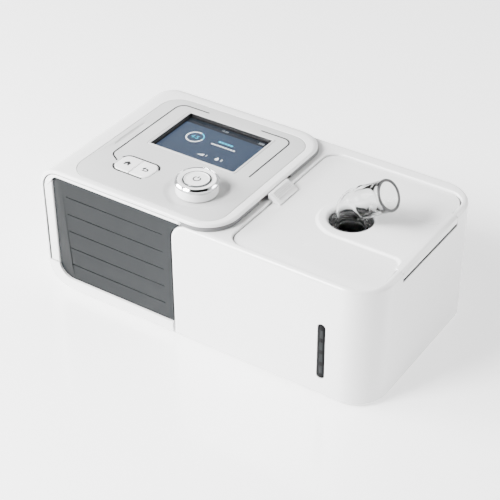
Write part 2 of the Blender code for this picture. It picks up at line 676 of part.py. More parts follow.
def build_heater():
    spot = ((TANK_LOW[0] + TANK_HIGH[0]) / 2, (TANK_LOW[1] + TANK_HIGH[1]) / 2)
    insulator = disc("heater_insulator", spot, HEATER_RADIUS + 0.003, 0.0049, 0.0082, FINE_ROUND)
    heater = disc("heater_plate", spot, HEATER_RADIUS, 0.0085, 0.0107, FINE_ROUND)
    base = disc("tank_base_plate", spot, HEATER_RADIUS - 0.0005, 0.0110, 0.0116, FINE_ROUND)
    dress("silicone", insulator)
    dress("steel", heater, base)
    return spot


def build_tank(heater_spot):
    wall = 0.002
    low = (*TANK_LOW, TANK_BOTTOM)
    high = (*TANK_HIGH, TANK_TOP)
    tank = block("water_tank", low, high, [("-*|", 0.008, 3), ("+*|", 0.020, 5), ("..-", 0.003, 2)])
    room_high = (high[0] - wall, high[1] - wall, 0.11)
    room = block("tank_room", [v + wall for v in low], room_high,
                 [("-*|", 0.006, 3), ("+*|", 0.018, 5)], cutter=True)
    port = turned("tank_port", [(0, 0.01), (DUCT_BORE, 0.01), (DUCT_BORE, -0.01), (0, -0.01)],
                  (low[0], DUCT[0], DUCT_PORT_Z), turn=(0, math.pi / 2, 0), cutter=True)
    floor_hole = disc("tank_floor_hole", heater_spot, HEATER_RADIUS - 0.004, 0.0, 0.02, FINE_ROUND,
                      cutter=True)
    cut(tank, room, port, floor_hole)
    dress("clear", tank)


def build_level_window():
    fit = 0.0003
    lens = block("level_window", (WINDOW_X[0] + fit, 0.0004, WINDOW_Z[0] + fit),
                 (WINDOW_X[1] - fit, 0.0036, WINDOW_Z[1] - fit), [("*|*", 0.00275, 4)])
    scale = block("level_scale", (WINDOW_X[0] + 0.0006, 0.0042, WINDOW_Z[0] + 0.0015),
                  (WINDOW_X[1] - 0.0006, 0.0052, WINDOW_Z[1] - 0.0015))
    marks = 4
    pitch = (WINDOW_Z[1] - WINDOW_Z[0]) / (marks + 1)
    for mark in range(marks):
        height = WINDOW_Z[0] + pitch * (mark + 1)
        cut(scale, block(f"mark_{mark}", (0.2, 0.0, height - 0.0005),
                         (WINDOW_X[0] + 0.0030, 0.01, height + 0.0005), cutter=True))
    dress("smoke", lens)
    dress("panel", scale)


# --- lid ---
def tongue_outline():
    # round the outlet at the left, straight to the right, then widening to the hinge
    front, back = OUTLET[1] - TONGUE_RADIUS, OUTLET[1] + TONGUE_RADIUS
    corner = 0.0085
    turn_x = HINGE[0] - corner
    outline = arc(OUTLET, TONGUE_RADIUS, 90, 270, 12)
    outline += arc((turn_x, front - corner), corner, 90, 0, 4)
    outline += [(HINGE[0], HINGE_FRONT), (0.2668, HINGE_FRONT)]
    outline += [(0.2668, HINGE_BACK), (HINGE[0], HINGE_BACK)]
    outline += arc((turn_x, back + corner), corner, 0, -90, 4)
    return outline


def build_lid():
    x, z = HINGE
    lid = block("lid", (*LID_LOW, LID_TOP - LID_THICKNESS), (*LID_HIGH, LID_TOP),
                [("**|", LID_CORNER, ARC)])
    tongue = plate("tongue", tongue_outline(), LID_TOP - 0.001, BODY_TOP, cutter=True)
    wrap = block("wrap", (0.2634, HINGE_FRONT, WRAP_BOTTOM), (CASE_WIDTH, HINGE_BACK, BODY_TOP),
                 [("+|+", 0.003, 3), ("+|-", 0.0015, 2)], cutter=True)
    fuse(lid, tongue, wrap)
    wrap_room = block("wrap_room", (0.2600, HINGE_FRONT + 0.0022, 0.0800),
                      (CASE_WIDTH - 0.0024, HINGE_BACK - 0.0022, LID_TOP - LID_THICKNESS - 0.0004),
                      cutter=True)
    slot = block("latch_slot", (0.1576, 0.0661, 0.0900), (0.1626, 0.0749, 0.0980), cutter=True)
    cut(lid, wrap_room, slot, disc("outlet_hole", OUTLET, OUTLET_HOLE, 0.08, 0.11, FINE_ROUND, cutter=True),
        hinge_bar("pin_bore", PIN_RADIUS + GAP, HINGE_FRONT - 0.01, HINGE_BACK + 0.01, cutter=True))

    liner = block("lid_liner", (0.1612, 0.0085, 0.0885), (0.2600, 0.1335, 0.0919),
                  [("-*|", 0.008, 3), ("+*|", 0.016, 4)])
    cut(liner, disc("liner_hole", OUTLET, OUTLET_HOLE, 0.08, 0.11, FINE_ROUND, cutter=True),
        block("liner_notch", (0.1600, 0.0655, 0.0880), (0.1634, 0.0755, 0.0950), cutter=True))

    seal_low, seal_high, width = (0.1615, 0.0083), (0.2600, 0.1337), 0.0030
    seal = block("lid_seal", (*seal_low, 0.0860), (*seal_high, 0.0882),
                 [("-*|", 0.008, 3), ("+*|", 0.018, 4)])
    inner = block("seal_room", (*[v + width for v in seal_low], 0.08),
                  (*[v - width for v in seal_high], 0.10),
                  [("-*|", 0.005, 3), ("+*|", 0.015, 4)], cutter=True)
    cut(seal, inner)

    collar = turned("outlet_collar", [
        (0.0141, 0.0934), (0.0150, 0.0934), (0.0150, 0.0882), (0.0175, 0.0882), (0.0175, 0.0862),
        (0.0125, 0.0862), (0.0125, 0.0912), (0.0141, 0.0912)], (*OUTLET, 0.0), FINE_ROUND)
    pin = hinge_bar("hinge_pin", PIN_RADIUS, HINGE_FRONT - 0.0035, HINGE_BACK + 0.0035)
    swing = empty_at("lid_hinge", (x, HINGE_FRONT, z), CORNER)
    for piece in (lid, liner, seal, collar):
        hang(piece, swing)
    dress("white", lid, liner)
    dress("silicone", seal)
    dress("dark", collar)
    dress("steel", pin)


def build_latch():
    # a thumb slide: a ribbed wedge on top of the lid, on a stem through a slot in it
    wedge = [(0.1529, BODY_TOP + GAP), (0.1529, 0.1003), (0.1545, 0.1006), (0.1600, 0.0974),
             (0.1628, 0.0958), (0.1628, LID_TOP + GAP), (0.1566, LID_TOP + GAP), (0.1566, BODY_TOP + GAP)]
    latch = plate("latch", wedge, LATCH_FRONT, LATCH_BACK, "Y")
    fuse(latch, block("latch_stem", (0.1580, 0.0665, 0.0902), (0.1600, 0.0745, 0.0950), cutter=True))
    for row in range(4):
        # grooves for the thumb, along the slope
        start = 0.1550 + row * 0.0010
        floor = 0.1003 - (start - 0.1545) * 0.58
        cut(latch, block(f"thumb_groove_{row}", (start, LATCH_FRONT + 0.0025, floor),
                         (start + 0.0005, LATCH_BACK - 0.0025, 0.11), cutter=True))
    hang(latch, empty_at("latch_guide", (0.1590, (LATCH_FRONT + LATCH_BACK) / 2, LID_TOP), CORNER))
    dress("white", latch)


def elbow_path(low, reach):
    # up the swivel axis, round the bend and out along the tilted leg, in the x-z plane
    x, y = OUTLET
    swing = math.pi / 2 - ELBOW_TILT
    tangent = ELBOW_BEND * math.tan(swing / 2)
    path = [(x, y, low)]
    for step in range(5):
        angle = swing * step / 4
        path.append((x + ELBOW_BEND * (1 - math.cos(angle)), y,
                     ELBOW_APEX - tangent + ELBOW_BEND * math.sin(angle)))
    path.append((x + reach * math.cos(ELBOW_TILT), y, ELBOW_APEX + reach * math.sin(ELBOW_TILT)))
    return path


def build_elbow():
    elbow = tube("elbow", elbow_path(0.0868, ELBOW_REACH), ELBOW_RADIUS, 7)
    fuse(elbow, disc("elbow_flange", OUTLET, 0.0137, 0.0915, 0.0929, ROUND, cutter=True))
    cut(elbow, tube("elbow_room", elbow_path(0.0800, ELBOW_REACH + 0.004), ELBOW_BORE, 7, cutter=True))
    minor, major, height = 0.00045, 0.0118, 0.0888
    circle = [(major + minor * math.cos(math.radians(90 - 45 * i)),
               height + minor * math.sin(math.radians(90 - 45 * i))) for i in range(8)]
    seal = turned("elbow_seal", circle, (*OUTLET, 0.0), ROUND)
    swivel = empty_at("elbow_swivel", (*OUTLET, 0.0), CORNER)
    hang(elbow, swivel)
    hang(seal, swivel)
    dress("clear", elbow)
    dress("rubber", seal)


def build_feet_and_screws():
    for name, spot in FEET.items():
        foot = turned(name, [(0, 0.0029), (0.0060, 0.0029), (0.0060, 0.0006), (0.0054, 0), (0, 0)],
                      (*spot, 0.0), ROUND)
        dress("rubber", foot)
    for name, spot in SCREWS.items():
        screw = turned(name, [(0, 0.0120), (0.0013, 0.0120), (0.0013, 0.0033), (0.0026, 0.0033),
                              (0.0026, 0.0024), (0.0020, 0.0022), (0.0, 0.0022)], (*spot, 0.0), 16)
        dress("steel", screw)


build_top_casing()
build_base_tray()
build_front_bezel()
build_front_panel()
build_middle_frame()
build_control_panel()
build_display()
build_keys()
build_knob()
build_blower()
build_rotor()
build_air_path()
build_electrics()
build_humidifier_housing()
build_tank(build_heater())
build_level_window()
build_lid()
build_latch()
build_elbow()
build_feet_and_screws()
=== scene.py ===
import math

import bmesh
import bpy
from mathutils import Matrix, Vector


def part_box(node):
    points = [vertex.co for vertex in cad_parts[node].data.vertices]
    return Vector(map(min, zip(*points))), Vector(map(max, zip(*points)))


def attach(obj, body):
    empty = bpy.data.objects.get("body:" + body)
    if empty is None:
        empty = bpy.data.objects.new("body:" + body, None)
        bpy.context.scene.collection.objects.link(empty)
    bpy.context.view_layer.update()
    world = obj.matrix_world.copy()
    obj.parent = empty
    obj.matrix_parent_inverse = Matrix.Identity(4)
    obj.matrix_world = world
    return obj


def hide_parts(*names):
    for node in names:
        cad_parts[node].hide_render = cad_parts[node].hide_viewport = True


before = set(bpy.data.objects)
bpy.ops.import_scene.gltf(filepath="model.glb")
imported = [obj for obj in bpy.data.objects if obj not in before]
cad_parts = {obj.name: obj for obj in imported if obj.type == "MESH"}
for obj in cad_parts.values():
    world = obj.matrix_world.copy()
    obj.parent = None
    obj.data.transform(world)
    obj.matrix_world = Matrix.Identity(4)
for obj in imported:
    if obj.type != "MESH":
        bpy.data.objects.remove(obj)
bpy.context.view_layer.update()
print("frame loaded:", len(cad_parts), "parts")

# Shapes are drawn in millimetres from the case's front left corner at floor level:
# x to the right, y to the back, z up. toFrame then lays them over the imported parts.
origin = Vector((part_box("top_casing")[0].x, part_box("humidifier_housing")[0].y, 0.0))
toFrame = Matrix.Translation(origin) @ Matrix.Scale(0.001, 4)


def partBox(node):
    low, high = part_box(node)
    return (low - origin) * 1000, (high - origin) * 1000


def partMiddle(node):
    low, high = partBox(node)
    return tuple((low[i] + high[i]) / 2 for i in range(3))


casingLow, casingHigh = partBox("top_casing")
housingLow, housingHigh = partBox("humidifier_housing")
unit = {
    "width": housingHigh.x,
    "depth": housingHigh.y,
    "foot": housingLow.z,
    "bodyTop": housingHigh.z,      # top of the humidifier half
    "top": casingHigh.z,           # top of the control half
    "split": housingLow.x,
    "step": casingHigh.x,          # right edge of the raised top
    "parting": casingLow.z,
    "rimUnder": 99.9,              # underside of the raised top's rim
    "wall": 2.6,                   # thickness of the casings
    "gap": 0.3,                    # between parts that fit together
    "leftTop": 17.0,               # radii of the casing's edges
    "leftBottom": 20.0,
    "backTop": 12.0,
    "backCorner": 18.0,
    "topCorner": 24.0,
    "topEdge": 1.7,
    "housingCorner": 25.0,
    "housingEdge": 3.4,
    "shoulder": 14.0,
    "well": 11.0,                  # how far back the shoulder runs
}


# mesh helpers
def newPiece(name, mesh):
    piece = bpy.data.objects.new(name, mesh)
    bpy.context.scene.collection.objects.link(piece)
    return piece


def cleanMesh(mesh):
    # merges doubles, drops loose edges, turns the faces out and cuts up the many-sided ones
    merge = 0.004
    bm = bmesh.new()
    bm.from_mesh(mesh)
    bmesh.ops.remove_doubles(bm, verts=bm.verts, dist=merge)
    bmesh.ops.dissolve_degenerate(bm, edges=bm.edges, dist=merge / 4)
    loose = [edge for edge in bm.edges if not edge.link_faces]
    bmesh.ops.delete(bm, geom=loose, context="EDGES")
    bmesh.ops.recalc_face_normals(bm, faces=bm.faces)
    if bm.calc_volume(signed=True) < 0:
        bmesh.ops.reverse_faces(bm, faces=bm.faces)
    bmesh.ops.triangulate(bm, faces=[face for face in bm.faces if len(face.verts) > 4])
    bm.to_mesh(mesh)
    bm.free()


def settle(piece):
    # swaps the mesh for the one its modifiers give
    graph = bpy.context.evaluated_depsgraph_get()
    mesh = bpy.data.meshes.new_from_object(piece.evaluated_get(graph))
    piece.modifiers.clear()
    old = piece.data
    piece.data = mesh
    bpy.data.meshes.remove(old)


def loft(name, rings, loop=False):
    # a skin through equal rings of points, capped at both ends or closed into a loop
    count = len(rings[0])
    faces = []
    last = len(rings) if loop else len(rings) - 1
    for r in range(last):
        for i in range(count):
            j = (i + 1) % count
            up = (r + 1) % len(rings)
            faces.append((r * count + i, r * count + j, up * count + j, up * count + i))
    if not loop:
        faces.append(tuple(reversed(range(count))))
        faces.append(tuple(range((len(rings) - 1) * count, len(rings) * count)))
    mesh = bpy.data.meshes.new(name)
    mesh.from_pydata([point for ring in rings for point in ring], [], faces)
    cleanMesh(mesh)
    return newPiece(name, mesh)


def arcPoints(centre, radius, start, end, steps=10):
    points = []
    for step in range(steps + 1):
        angle = math.radians(start + (end - start) * step / steps)
        points.append((centre[0] + radius * math.cos(angle), centre[1] + radius * math.sin(angle)))
    return points


def roundRect(low, high, radii, steps=10):
    # radii of the low-low, high-low, high-high and low-high corners
    if not isinstance(radii, tuple):
        radii = (radii,) * 4
    corners = [(low[0], low[1], 1, 1, 180), (high[0], low[1], -1, 1, 270),
               (high[0], high[1], -1, -1, 0), (low[0], high[1], 1, -1, 90)]
    points = []
    for (x, y, right, up, start), radius in zip(corners, radii):
        radius = max(radius, 0.05)
        points += arcPoints((x + right * radius, y + up * radius), radius, start, start + 90, steps)
    return points


def widerRect(low, high, out, radii, steps=10):
    # the outline this far outside a box, its corners' centres unmoved
    radii = radii if isinstance(radii, tuple) else (radii,) * 4
    return roundRect((low[0] - out, low[1] - out), (high[0] + out, high[1] + out),
                     tuple(r + out for r in radii), steps)


def lift(outline, height, across="Z"):
    # an outline laid level, or stood up to face the front
    if across == "Y":
        return [(u, height, v) for u, v in outline]
    return [(u, v, height) for u, v in outline]


def slab(name, outline, low, high, across="Z"):
    return loft(name, [lift(outline, low, across), lift(outline, high, across)])


def softSlab(name, low, high, radii, edge=0.4, floorEdge=0.0, steps=10, fine=4):
    # a rounded plate whose upper edge, and lower one if asked, rolls over
    if not isinstance(radii, tuple):
        radii = (radii,) * 4
    rings = []
    for rim, base, way in ((floorEdge, low[2], 1), (edge, high[2], -1)):
        part = []
        for step in range(fine + 1):
            angle = math.pi / 2 * step / fine
            inset = rim * (1 - math.sin(angle))
            height = base + way * rim * (1 - math.cos(angle))
            corners = tuple(max(r - inset, 0.05) for r in radii)
            outline = roundRect((low[0] + inset, low[1] + inset), (high[0] - inset, high[1] - inset),
                                corners, steps)
            part.append(lift(outline, height))
        rings += part if way == 1 else part[::-1]
    return loft(name, rings)


def turned(name, profile, centre, sides=72, tip=None):
    # radius and height pairs turned round a line through the centre; tip turns the line over
    rings = []
    for side in range(sides):
        angle = 2 * math.pi * side / sides
        rings.append([Vector((r * math.cos(angle), r * math.sin(angle), z)) for r, z in profile])
    mesh = loft(name, rings, loop=True)
    if tip:
        mesh.data.transform(Matrix.Rotation(math.radians(90), 4, tip))
    mesh.data.transform(Matrix.Translation(centre))
    cleanMesh(mesh.data)
    return mesh


def disc(name, centre, radius, low, high, sides=48, tip=None):
    return turned(name, [(0, low), (radius, low), (radius, high), (0, high)], centre, sides, tip)


def shape(piece, operation, others):
    for other in others:
        step = piece.modifiers.new(other.name, "BOOLEAN")
        step.operation = operation
        step.solver = "EXACT"
        step.object = other
    settle(piece)
    for other in others:
        bpy.data.objects.remove(other, do_unlink=True)


def carve(piece, *cutters):
    shape(piece, "DIFFERENCE", cutters)


def weld(piece, *others):
    shape(piece, "UNION", others)


def roundEdges(piece, width, segments=2, degrees=50):
    # takes the sharpness off the edges that meet at more than this angle
    step = piece.modifiers.new("edges", "BEVEL")
    step.width = width
    step.segments = segments
    step.limit_method = "ANGLE"
    step.angle_limit = math.radians(degrees)
    step.use_clamp_overlap = False
    step.harden_normals = False
    settle(piece)


def deliver(piece, body, finish, *replaced, slot=None, degrees=20):
    # the finished mesh, in the frame's place, with its finish and the body that it rides on
    mesh = piece.data
    for vertex in mesh.vertices:
        # small corner overshoots stay inside the case
        vertex.co.x = min(max(vertex.co.x, 0.0), unit["width"])
        vertex.co.y = min(max(vertex.co.y, 0.0), unit["depth"])
    cleanMesh(mesh)
    mesh.transform(toFrame)
    mesh.materials.clear()
    mesh.materials.append(finishes[finish])
    for face in mesh.polygons:
        face.material_index = 0
    mesh.shade_smooth()
    mesh.set_sharp_from_angle(angle=math.radians(degrees))
    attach(piece, body)
    if replaced:
        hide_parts(*replaced)


# node trees that repeat a shape or follow a line
def treeInputs(tree, sockets):
    for name, kind, value in sockets:
        socket = tree.interface.new_socket(name, in_out="INPUT", socket_type=kind)
        if value is not None:
            socket.default_value = value
    tree.interface.new_socket("Geometry", in_out="OUTPUT", socket_type="NodeSocketGeometry")
    return tree.nodes.new("NodeGroupInput"), tree.nodes.new("NodeGroupOutput")


def finishTree(tree, geometry, source, target):
    # every tree ends in real geometry with its material set
    real = tree.nodes.new("GeometryNodeRealizeInstances")
    paint = tree.nodes.new("GeometryNodeSetMaterial")
    tree.links.new(geometry, real.inputs[0])
    tree.links.new(real.outputs[0], paint.inputs["Geometry"])
    tree.links.new(source.outputs["Material"], paint.inputs["Material"])
    tree.links.new(paint.outputs[0], target.inputs[0])


def makeRowTree():
    # a row of equal bars
    tree = bpy.data.node_groups.new("barRow", "GeometryNodeTree")
    source, target = treeInputs(tree, [
        ("Geometry", "NodeSocketGeometry", None), ("Count", "NodeSocketInt", 5),
        ("First", "NodeSocketVector", (0, 0, 0)), ("Step", "NodeSocketVector", (0, 0, 1)),
        ("Size", "NodeSocketVector", (1, 1, 1)), ("Tilt", "NodeSocketVector", (0, 0, 0)),
        ("Material", "NodeSocketMaterial", None)])
    line = tree.nodes.new("GeometryNodeMeshLine")
    bar = tree.nodes.new("GeometryNodeMeshCube")
    scatter = tree.nodes.new("GeometryNodeInstanceOnPoints")
    tree.links.new(source.outputs["Count"], line.inputs["Count"])
    tree.links.new(source.outputs["First"], line.inputs["Start Location"])
    tree.links.new(source.outputs["Step"], line.inputs["Offset"])
    tree.links.new(source.outputs["Size"], bar.inputs["Size"])
    tree.links.new(line.outputs["Mesh"], scatter.inputs["Points"])
    tree.links.new(bar.outputs["Mesh"], scatter.inputs["Instance"])
    tree.links.new(source.outputs["Tilt"], scatter.inputs["Rotation"])
    finishTree(tree, scatter.outputs["Instances"], source, target)
    return tree


def makeRingTree():
    # equal bars round a circle, each turned to face out
    tree = bpy.data.node_groups.new("barRing", "GeometryNodeTree")
    source, target = treeInputs(tree, [
        ("Geometry", "NodeSocketGeometry", None), ("Count", "NodeSocketInt", 12),
        ("Radius", "NodeSocketFloat", 10.0), ("Size", "NodeSocketVector", (1, 1, 1)),
        ("Material", "NodeSocketMaterial", None)])
    circle = tree.nodes.new("GeometryNodeMeshCircle")
    bar = tree.nodes.new("GeometryNodeMeshCube")
    place = tree.nodes.new("GeometryNodeInputPosition")
    facing = tree.nodes.new("FunctionNodeAlignRotationToVector")
    scatter = tree.nodes.new("GeometryNodeInstanceOnPoints")
    facing.axis = "X"
    tree.links.new(source.outputs["Count"], circle.inputs["Vertices"])
    tree.links.new(source.outputs["Radius"], circle.inputs["Radius"])
    tree.links.new(source.outputs["Size"], bar.inputs["Size"])
    tree.links.new(place.outputs[0], facing.inputs["Vector"])
    tree.links.new(circle.outputs["Mesh"], scatter.inputs["Points"])
    tree.links.new(bar.outputs["Mesh"], scatter.inputs["Instance"])
    tree.links.new(facing.outputs[0], scatter.inputs["Rotation"])
    finishTree(tree, scatter.outputs["Instances"], source, target)
    return tree


def makeStripTree():
    # a flat strip laid along a curve
    tree = bpy.data.node_groups.new("inlaidStrip", "GeometryNodeTree")
    source, target = treeInputs(tree, [
        ("Geometry", "NodeSocketGeometry", None), ("Width", "NodeSocketFloat", 0.7),
        ("Thickness", "NodeSocketFloat", 0.2), ("Material", "NodeSocketMaterial", None)])
    section = tree.nodes.new("GeometryNodeCurvePrimitiveQuadrilateral")
    sweep = tree.nodes.new("GeometryNodeCurveToMesh")
    sweep.inputs["Fill Caps"].default_value = True
    tree.links.new(source.outputs["Width"], section.inputs["Width"])
    tree.links.new(source.outputs["Thickness"], section.inputs["Height"])
    tree.links.new(source.outputs["Geometry"], sweep.inputs["Curve"])
    tree.links.new(section.outputs[0], sweep.inputs["Profile Curve"])
    finishTree(tree, sweep.outputs["Mesh"], source, target)
    return tree


rowTree = makeRowTree()
ringTree = makeRingTree()
stripTree = makeStripTree()


def grow(piece, tree, **values):
    # runs a tree on the piece with its inputs set, and keeps the plain mesh that comes out
    step = piece.modifiers.new(tree.name, "NODES")
    step.node_group = tree
    for socket in tree.interface.items_tree:
        if socket.in_out == "INPUT" and socket.name in values:
            step[socket.identifier] = values[socket.name]
    graph = bpy.context.evaluated_depsgraph_get()
    mesh = bpy.data.meshes.new_from_object(piece.evaluated_get(graph))
    grown = newPiece(piece.name + "_grown", mesh)
    bpy.data.objects.remove(piece, do_unlink=True)
    return grown


def barRow(name, count, first, step, size, finish, tilt=(0, 0, 0)):
    seed = newPiece(name, bpy.data.meshes.new(name))
    piece = grow(seed, rowTree, Count=count, First=first, Step=step, Size=size, Tilt=tilt,
                 Material=finishes[finish])
    piece.name = name
    return piece


def barRing(name, count, radius, size, centre, finish):
    seed = newPiece(name, bpy.data.meshes.new(name))
    piece = grow(seed, ringTree, Count=count, Radius=radius, Size=size, Material=finishes[finish])
    piece.name = name
    piece.data.transform(Matrix.Translation(centre))
    return piece


def strip(name, runs, height, width, thickness, finish, closed=False):
    # one or more lines on a level surface, as one mesh
    curve = bpy.data.curves.new(name, "CURVE")
    curve.dimensions = "3D"
    for run in runs:
        spline = curve.splines.new("POLY")
        spline.points.add(len(run) - 1)
        for point, (x, y) in zip(spline.points, run):
            point.co = (x, y, height, 1.0)
        spline.use_cyclic_u = closed
    piece = grow(newPiece(name, curve), stripTree, Width=width, Thickness=thickness,
                 Material=finishes[finish])
    piece.name = name
    return piece


# surface effects shared by the finishes
def shaderGroup(name, inputs, outputs):
    tree = bpy.data.node_groups.new(name, "ShaderNodeTree")
    for label, kind, value in inputs:
        socket = tree.interface.new_socket(label, in_out="INPUT", socket_type=kind)
        socket.default_value = value
    for label, kind in outputs:
        tree.interface.new_socket(label, in_out="OUTPUT", socket_type=kind)
    return tree, tree.nodes.new("NodeGroupInput"), tree.nodes.new("NodeGroupOutput")


def mathStep(tree, operation, first, second, clamp=False):
    step = tree.nodes.new("ShaderNodeMath")
    step.operation = operation
    step.use_clamp = clamp
    for socket, value in zip(step.inputs, (first, second)):
        if isinstance(value, (int, float)):
            socket.default_value = value
        else:
            tree.links.new(value, socket)
    return step.outputs[0]


def noiseAt(tree, scale, detail=2.0, stretch=None):
    coordinates = tree.nodes.new("ShaderNodeTexCoord")
    vector = coordinates.outputs["Object"]
    if stretch:
        mapping = tree.nodes.new("ShaderNodeMapping")
        mapping.inputs["Scale"].default_value = stretch
        tree.links.new(vector, mapping.inputs["Vector"])
        vector = mapping.outputs[0]
    noise = tree.nodes.new("ShaderNodeTexNoise")
    noise.inputs["Detail"].default_value = detail
    tree.links.new(vector, noise.inputs["Vector"])
    if isinstance(scale, (int, float)):
        noise.inputs["Scale"].default_value = scale
    else:
        tree.links.new(scale, noise.inputs["Scale"])
    return noise.outputs["Fac"]


def mixColour(tree, amount, first, second):
    mix = tree.nodes.new("ShaderNodeMix")
    mix.data_type = "RGBA"
    for socket, value in ((mix.inputs[0], amount), (mix.inputs[6], first), (mix.inputs[7], second)):
        if isinstance(value, (int, float)):
            socket.default_value = value
        elif isinstance(value, tuple):
            socket.default_value = (*value, 1.0)
        else:
            tree.links.new(value, socket)
    return mix.outputs[2]


def makeMouldGrain():
    # moulded plastic: fine spark grain, slow drift in tone and gloss
    tree, source, target = shaderGroup("mouldGrain", [
        ("Colour", "NodeSocketColor", (0.8, 0.8, 0.8, 1)), ("Shade", "NodeSocketColor", (0.7, 0.7, 0.7, 1)),
        ("Drift", "NodeSocketFloat", 0.3), ("Grain Scale", "NodeSocketFloat", 2500.0),
        ("Gloss", "NodeSocketFloat", 0.3), ("Gloss Spread", "NodeSocketFloat", 0.06)],
        [("Colour", "NodeSocketColor"), ("Roughness", "NodeSocketFloat"), ("Height", "NodeSocketFloat")])
    drift = mathStep(tree, "MULTIPLY", noiseAt(tree, 14.0, 3.0), source.outputs["Drift"], clamp=True)
    tree.links.new(mixColour(tree, drift, source.outputs["Colour"], source.outputs["Shade"]),
                   target.inputs["Colour"])
    smear = mathStep(tree, "SUBTRACT", noiseAt(tree, 60.0, 5.0), 0.5)
    spread = mathStep(tree, "MULTIPLY", smear, source.outputs["Gloss Spread"])
    tree.links.new(mathStep(tree, "ADD", spread, source.outputs["Gloss"], clamp=True),
                   target.inputs["Roughness"])
    tree.links.new(noiseAt(tree, source.outputs["Grain Scale"], 1.0), target.inputs["Height"])
    return tree


def makeRestingDust():
    # a thin film that settles on faces that look up
    tree, source, target = shaderGroup("restingDust", [
        ("Colour", "NodeSocketColor", (0.8, 0.8, 0.8, 1)), ("Dust", "NodeSocketColor", (0.5, 0.48, 0.44, 1)),
        ("Amount", "NodeSocketFloat", 0.05)], [("Colour", "NodeSocketColor")])
    geometry = tree.nodes.new("ShaderNodeNewGeometry")
    split = tree.nodes.new("ShaderNodeSeparateXYZ")
    tree.links.new(geometry.outputs["Normal"], split.inputs[0])
    facing = mathStep(tree, "MULTIPLY", split.outputs["Z"], source.outputs["Amount"], clamp=True)
    patch = mathStep(tree, "MULTIPLY", facing, noiseAt(tree, 90.0, 6.0), clamp=True)
    tree.links.new(mixColour(tree, patch, source.outputs["Colour"], source.outputs["Dust"]),
                   target.inputs["Colour"])
    return tree


def makeDrawnLines():
    # metal drawn or turned one way: long fine lines
    tree, source, target = shaderGroup("drawnLines", [
        ("Colour", "NodeSocketColor", (0.6, 0.6, 0.6, 1)), ("Dark", "NodeSocketColor", (0.4, 0.4, 0.4, 1)),
        ("Contrast", "NodeSocketFloat", 0.4), ("Gloss", "NodeSocketFloat", 0.25)],
        [("Colour", "NodeSocketColor"), ("Roughness", "NodeSocketFloat"), ("Height", "NodeSocketFloat")])
    lines = noiseAt(tree, 900.0, 4.0, (0.03, 1.0, 1.0))
    amount = mathStep(tree, "MULTIPLY", lines, source.outputs["Contrast"], clamp=True)
    tree.links.new(mixColour(tree, amount, source.outputs["Colour"], source.outputs["Dark"]),
                   target.inputs["Colour"])
    tree.links.new(mathStep(tree, "ADD", mathStep(tree, "MULTIPLY", lines, 0.15), source.outputs["Gloss"]),
                   target.inputs["Roughness"])
    tree.links.new(lines, target.inputs["Height"])
    return tree


def makeFibreCells():
    # foam cells or matted fibre, with painted shade darkening the low gaps between the cells
    tree, source, target = shaderGroup("fibreCells", [
        ("Colour", "NodeSocketColor", (0.8, 0.8, 0.8, 1)), ("Gaps", "NodeSocketColor", (0.3, 0.3, 0.3, 1)),
        ("Cell Scale", "NodeSocketFloat", 900.0)],
        [("Colour", "NodeSocketColor"), ("Height", "NodeSocketFloat")])
    coordinates = tree.nodes.new("ShaderNodeTexCoord")
    cells = tree.nodes.new("ShaderNodeTexVoronoi")
    cells.feature = "DISTANCE_TO_EDGE"
    tree.links.new(coordinates.outputs["Object"], cells.inputs["Vector"])
    tree.links.new(source.outputs["Cell Scale"], cells.inputs["Scale"])
    edge = mathStep(tree, "MULTIPLY", cells.outputs["Distance"], 4.0, clamp=True)
    # painted shade: the gap colour darkens the low grooves where the cells meet
    tree.links.new(mixColour(tree, edge, source.outputs["Gaps"], source.outputs["Colour"]),
                   target.inputs["Colour"])
    tree.links.new(edge, target.inputs["Height"])
    return tree


mouldGrain = makeMouldGrain()
restingDust = makeRestingDust()
drawnLines = makeDrawnLines()
fibreCells = makeFibreCells()


# finishes
def startFinish(name, **plain):
    finish = bpy.data.materials.new(name)
    finish.use_nodes = True
    shader = finish.node_tree.nodes["Principled BSDF"]
    for socket, value in plain.items():
        label = socket.replace("_", " ")
        shader.inputs[label].default_value = value
    return finish, finish.node_tree, shader


def useGroup(tree, group, **values):
    node = tree.nodes.new("ShaderNodeGroup")
    node.node_tree = group
    for socket, value in values.items():
        label = socket.replace("_", " ")
        if isinstance(value, (int, float)):
            node.inputs[label].default_value = value
        elif isinstance(value, tuple):
            node.inputs[label].default_value = (*value, 1.0)
        else:
            tree.links.new(value, node.inputs[label])
    return node


def bumpFrom(tree, shader, height, strength, distance=0.0001):
    bump = tree.nodes.new("ShaderNodeBump")
    bump.inputs["Strength"].default_value = strength
    bump.inputs["Distance"].default_value = distance
    tree.links.new(height, bump.inputs["Height"])
    tree.links.new(bump.outputs[0], shader.inputs["Normal"])


def plastic(name, colour, shade, gloss, drift=0.3, grain=2500.0, depth=0.15, dust=0.06, **plain):
    finish, tree, shader = startFinish(name, **plain)
    skin = useGroup(tree, mouldGrain, Colour=colour, Shade=shade, Drift=drift, Grain_Scale=grain,
                    Gloss=gloss)
    film = useGroup(tree, restingDust, Colour=skin.outputs["Colour"], Amount=dust)
    tree.links.new(film.outputs["Colour"], shader.inputs["Base Color"])
    tree.links.new(skin.outputs["Roughness"], shader.inputs["Roughness"])
    bumpFrom(tree, shader, skin.outputs["Height"], depth)
    return finish


def metal(name, colour, dark, gloss, contrast, depth=0.1):
    finish, tree, shader = startFinish(name, Metallic=1.0)
    skin = useGroup(tree, drawnLines, Colour=colour, Dark=dark, Contrast=contrast, Gloss=gloss)
    tree.links.new(skin.outputs["Colour"], shader.inputs["Base Color"])
    tree.links.new(skin.outputs["Roughness"], shader.inputs["Roughness"])
    bumpFrom(tree, shader, skin.outputs["Height"], depth)
    return finish


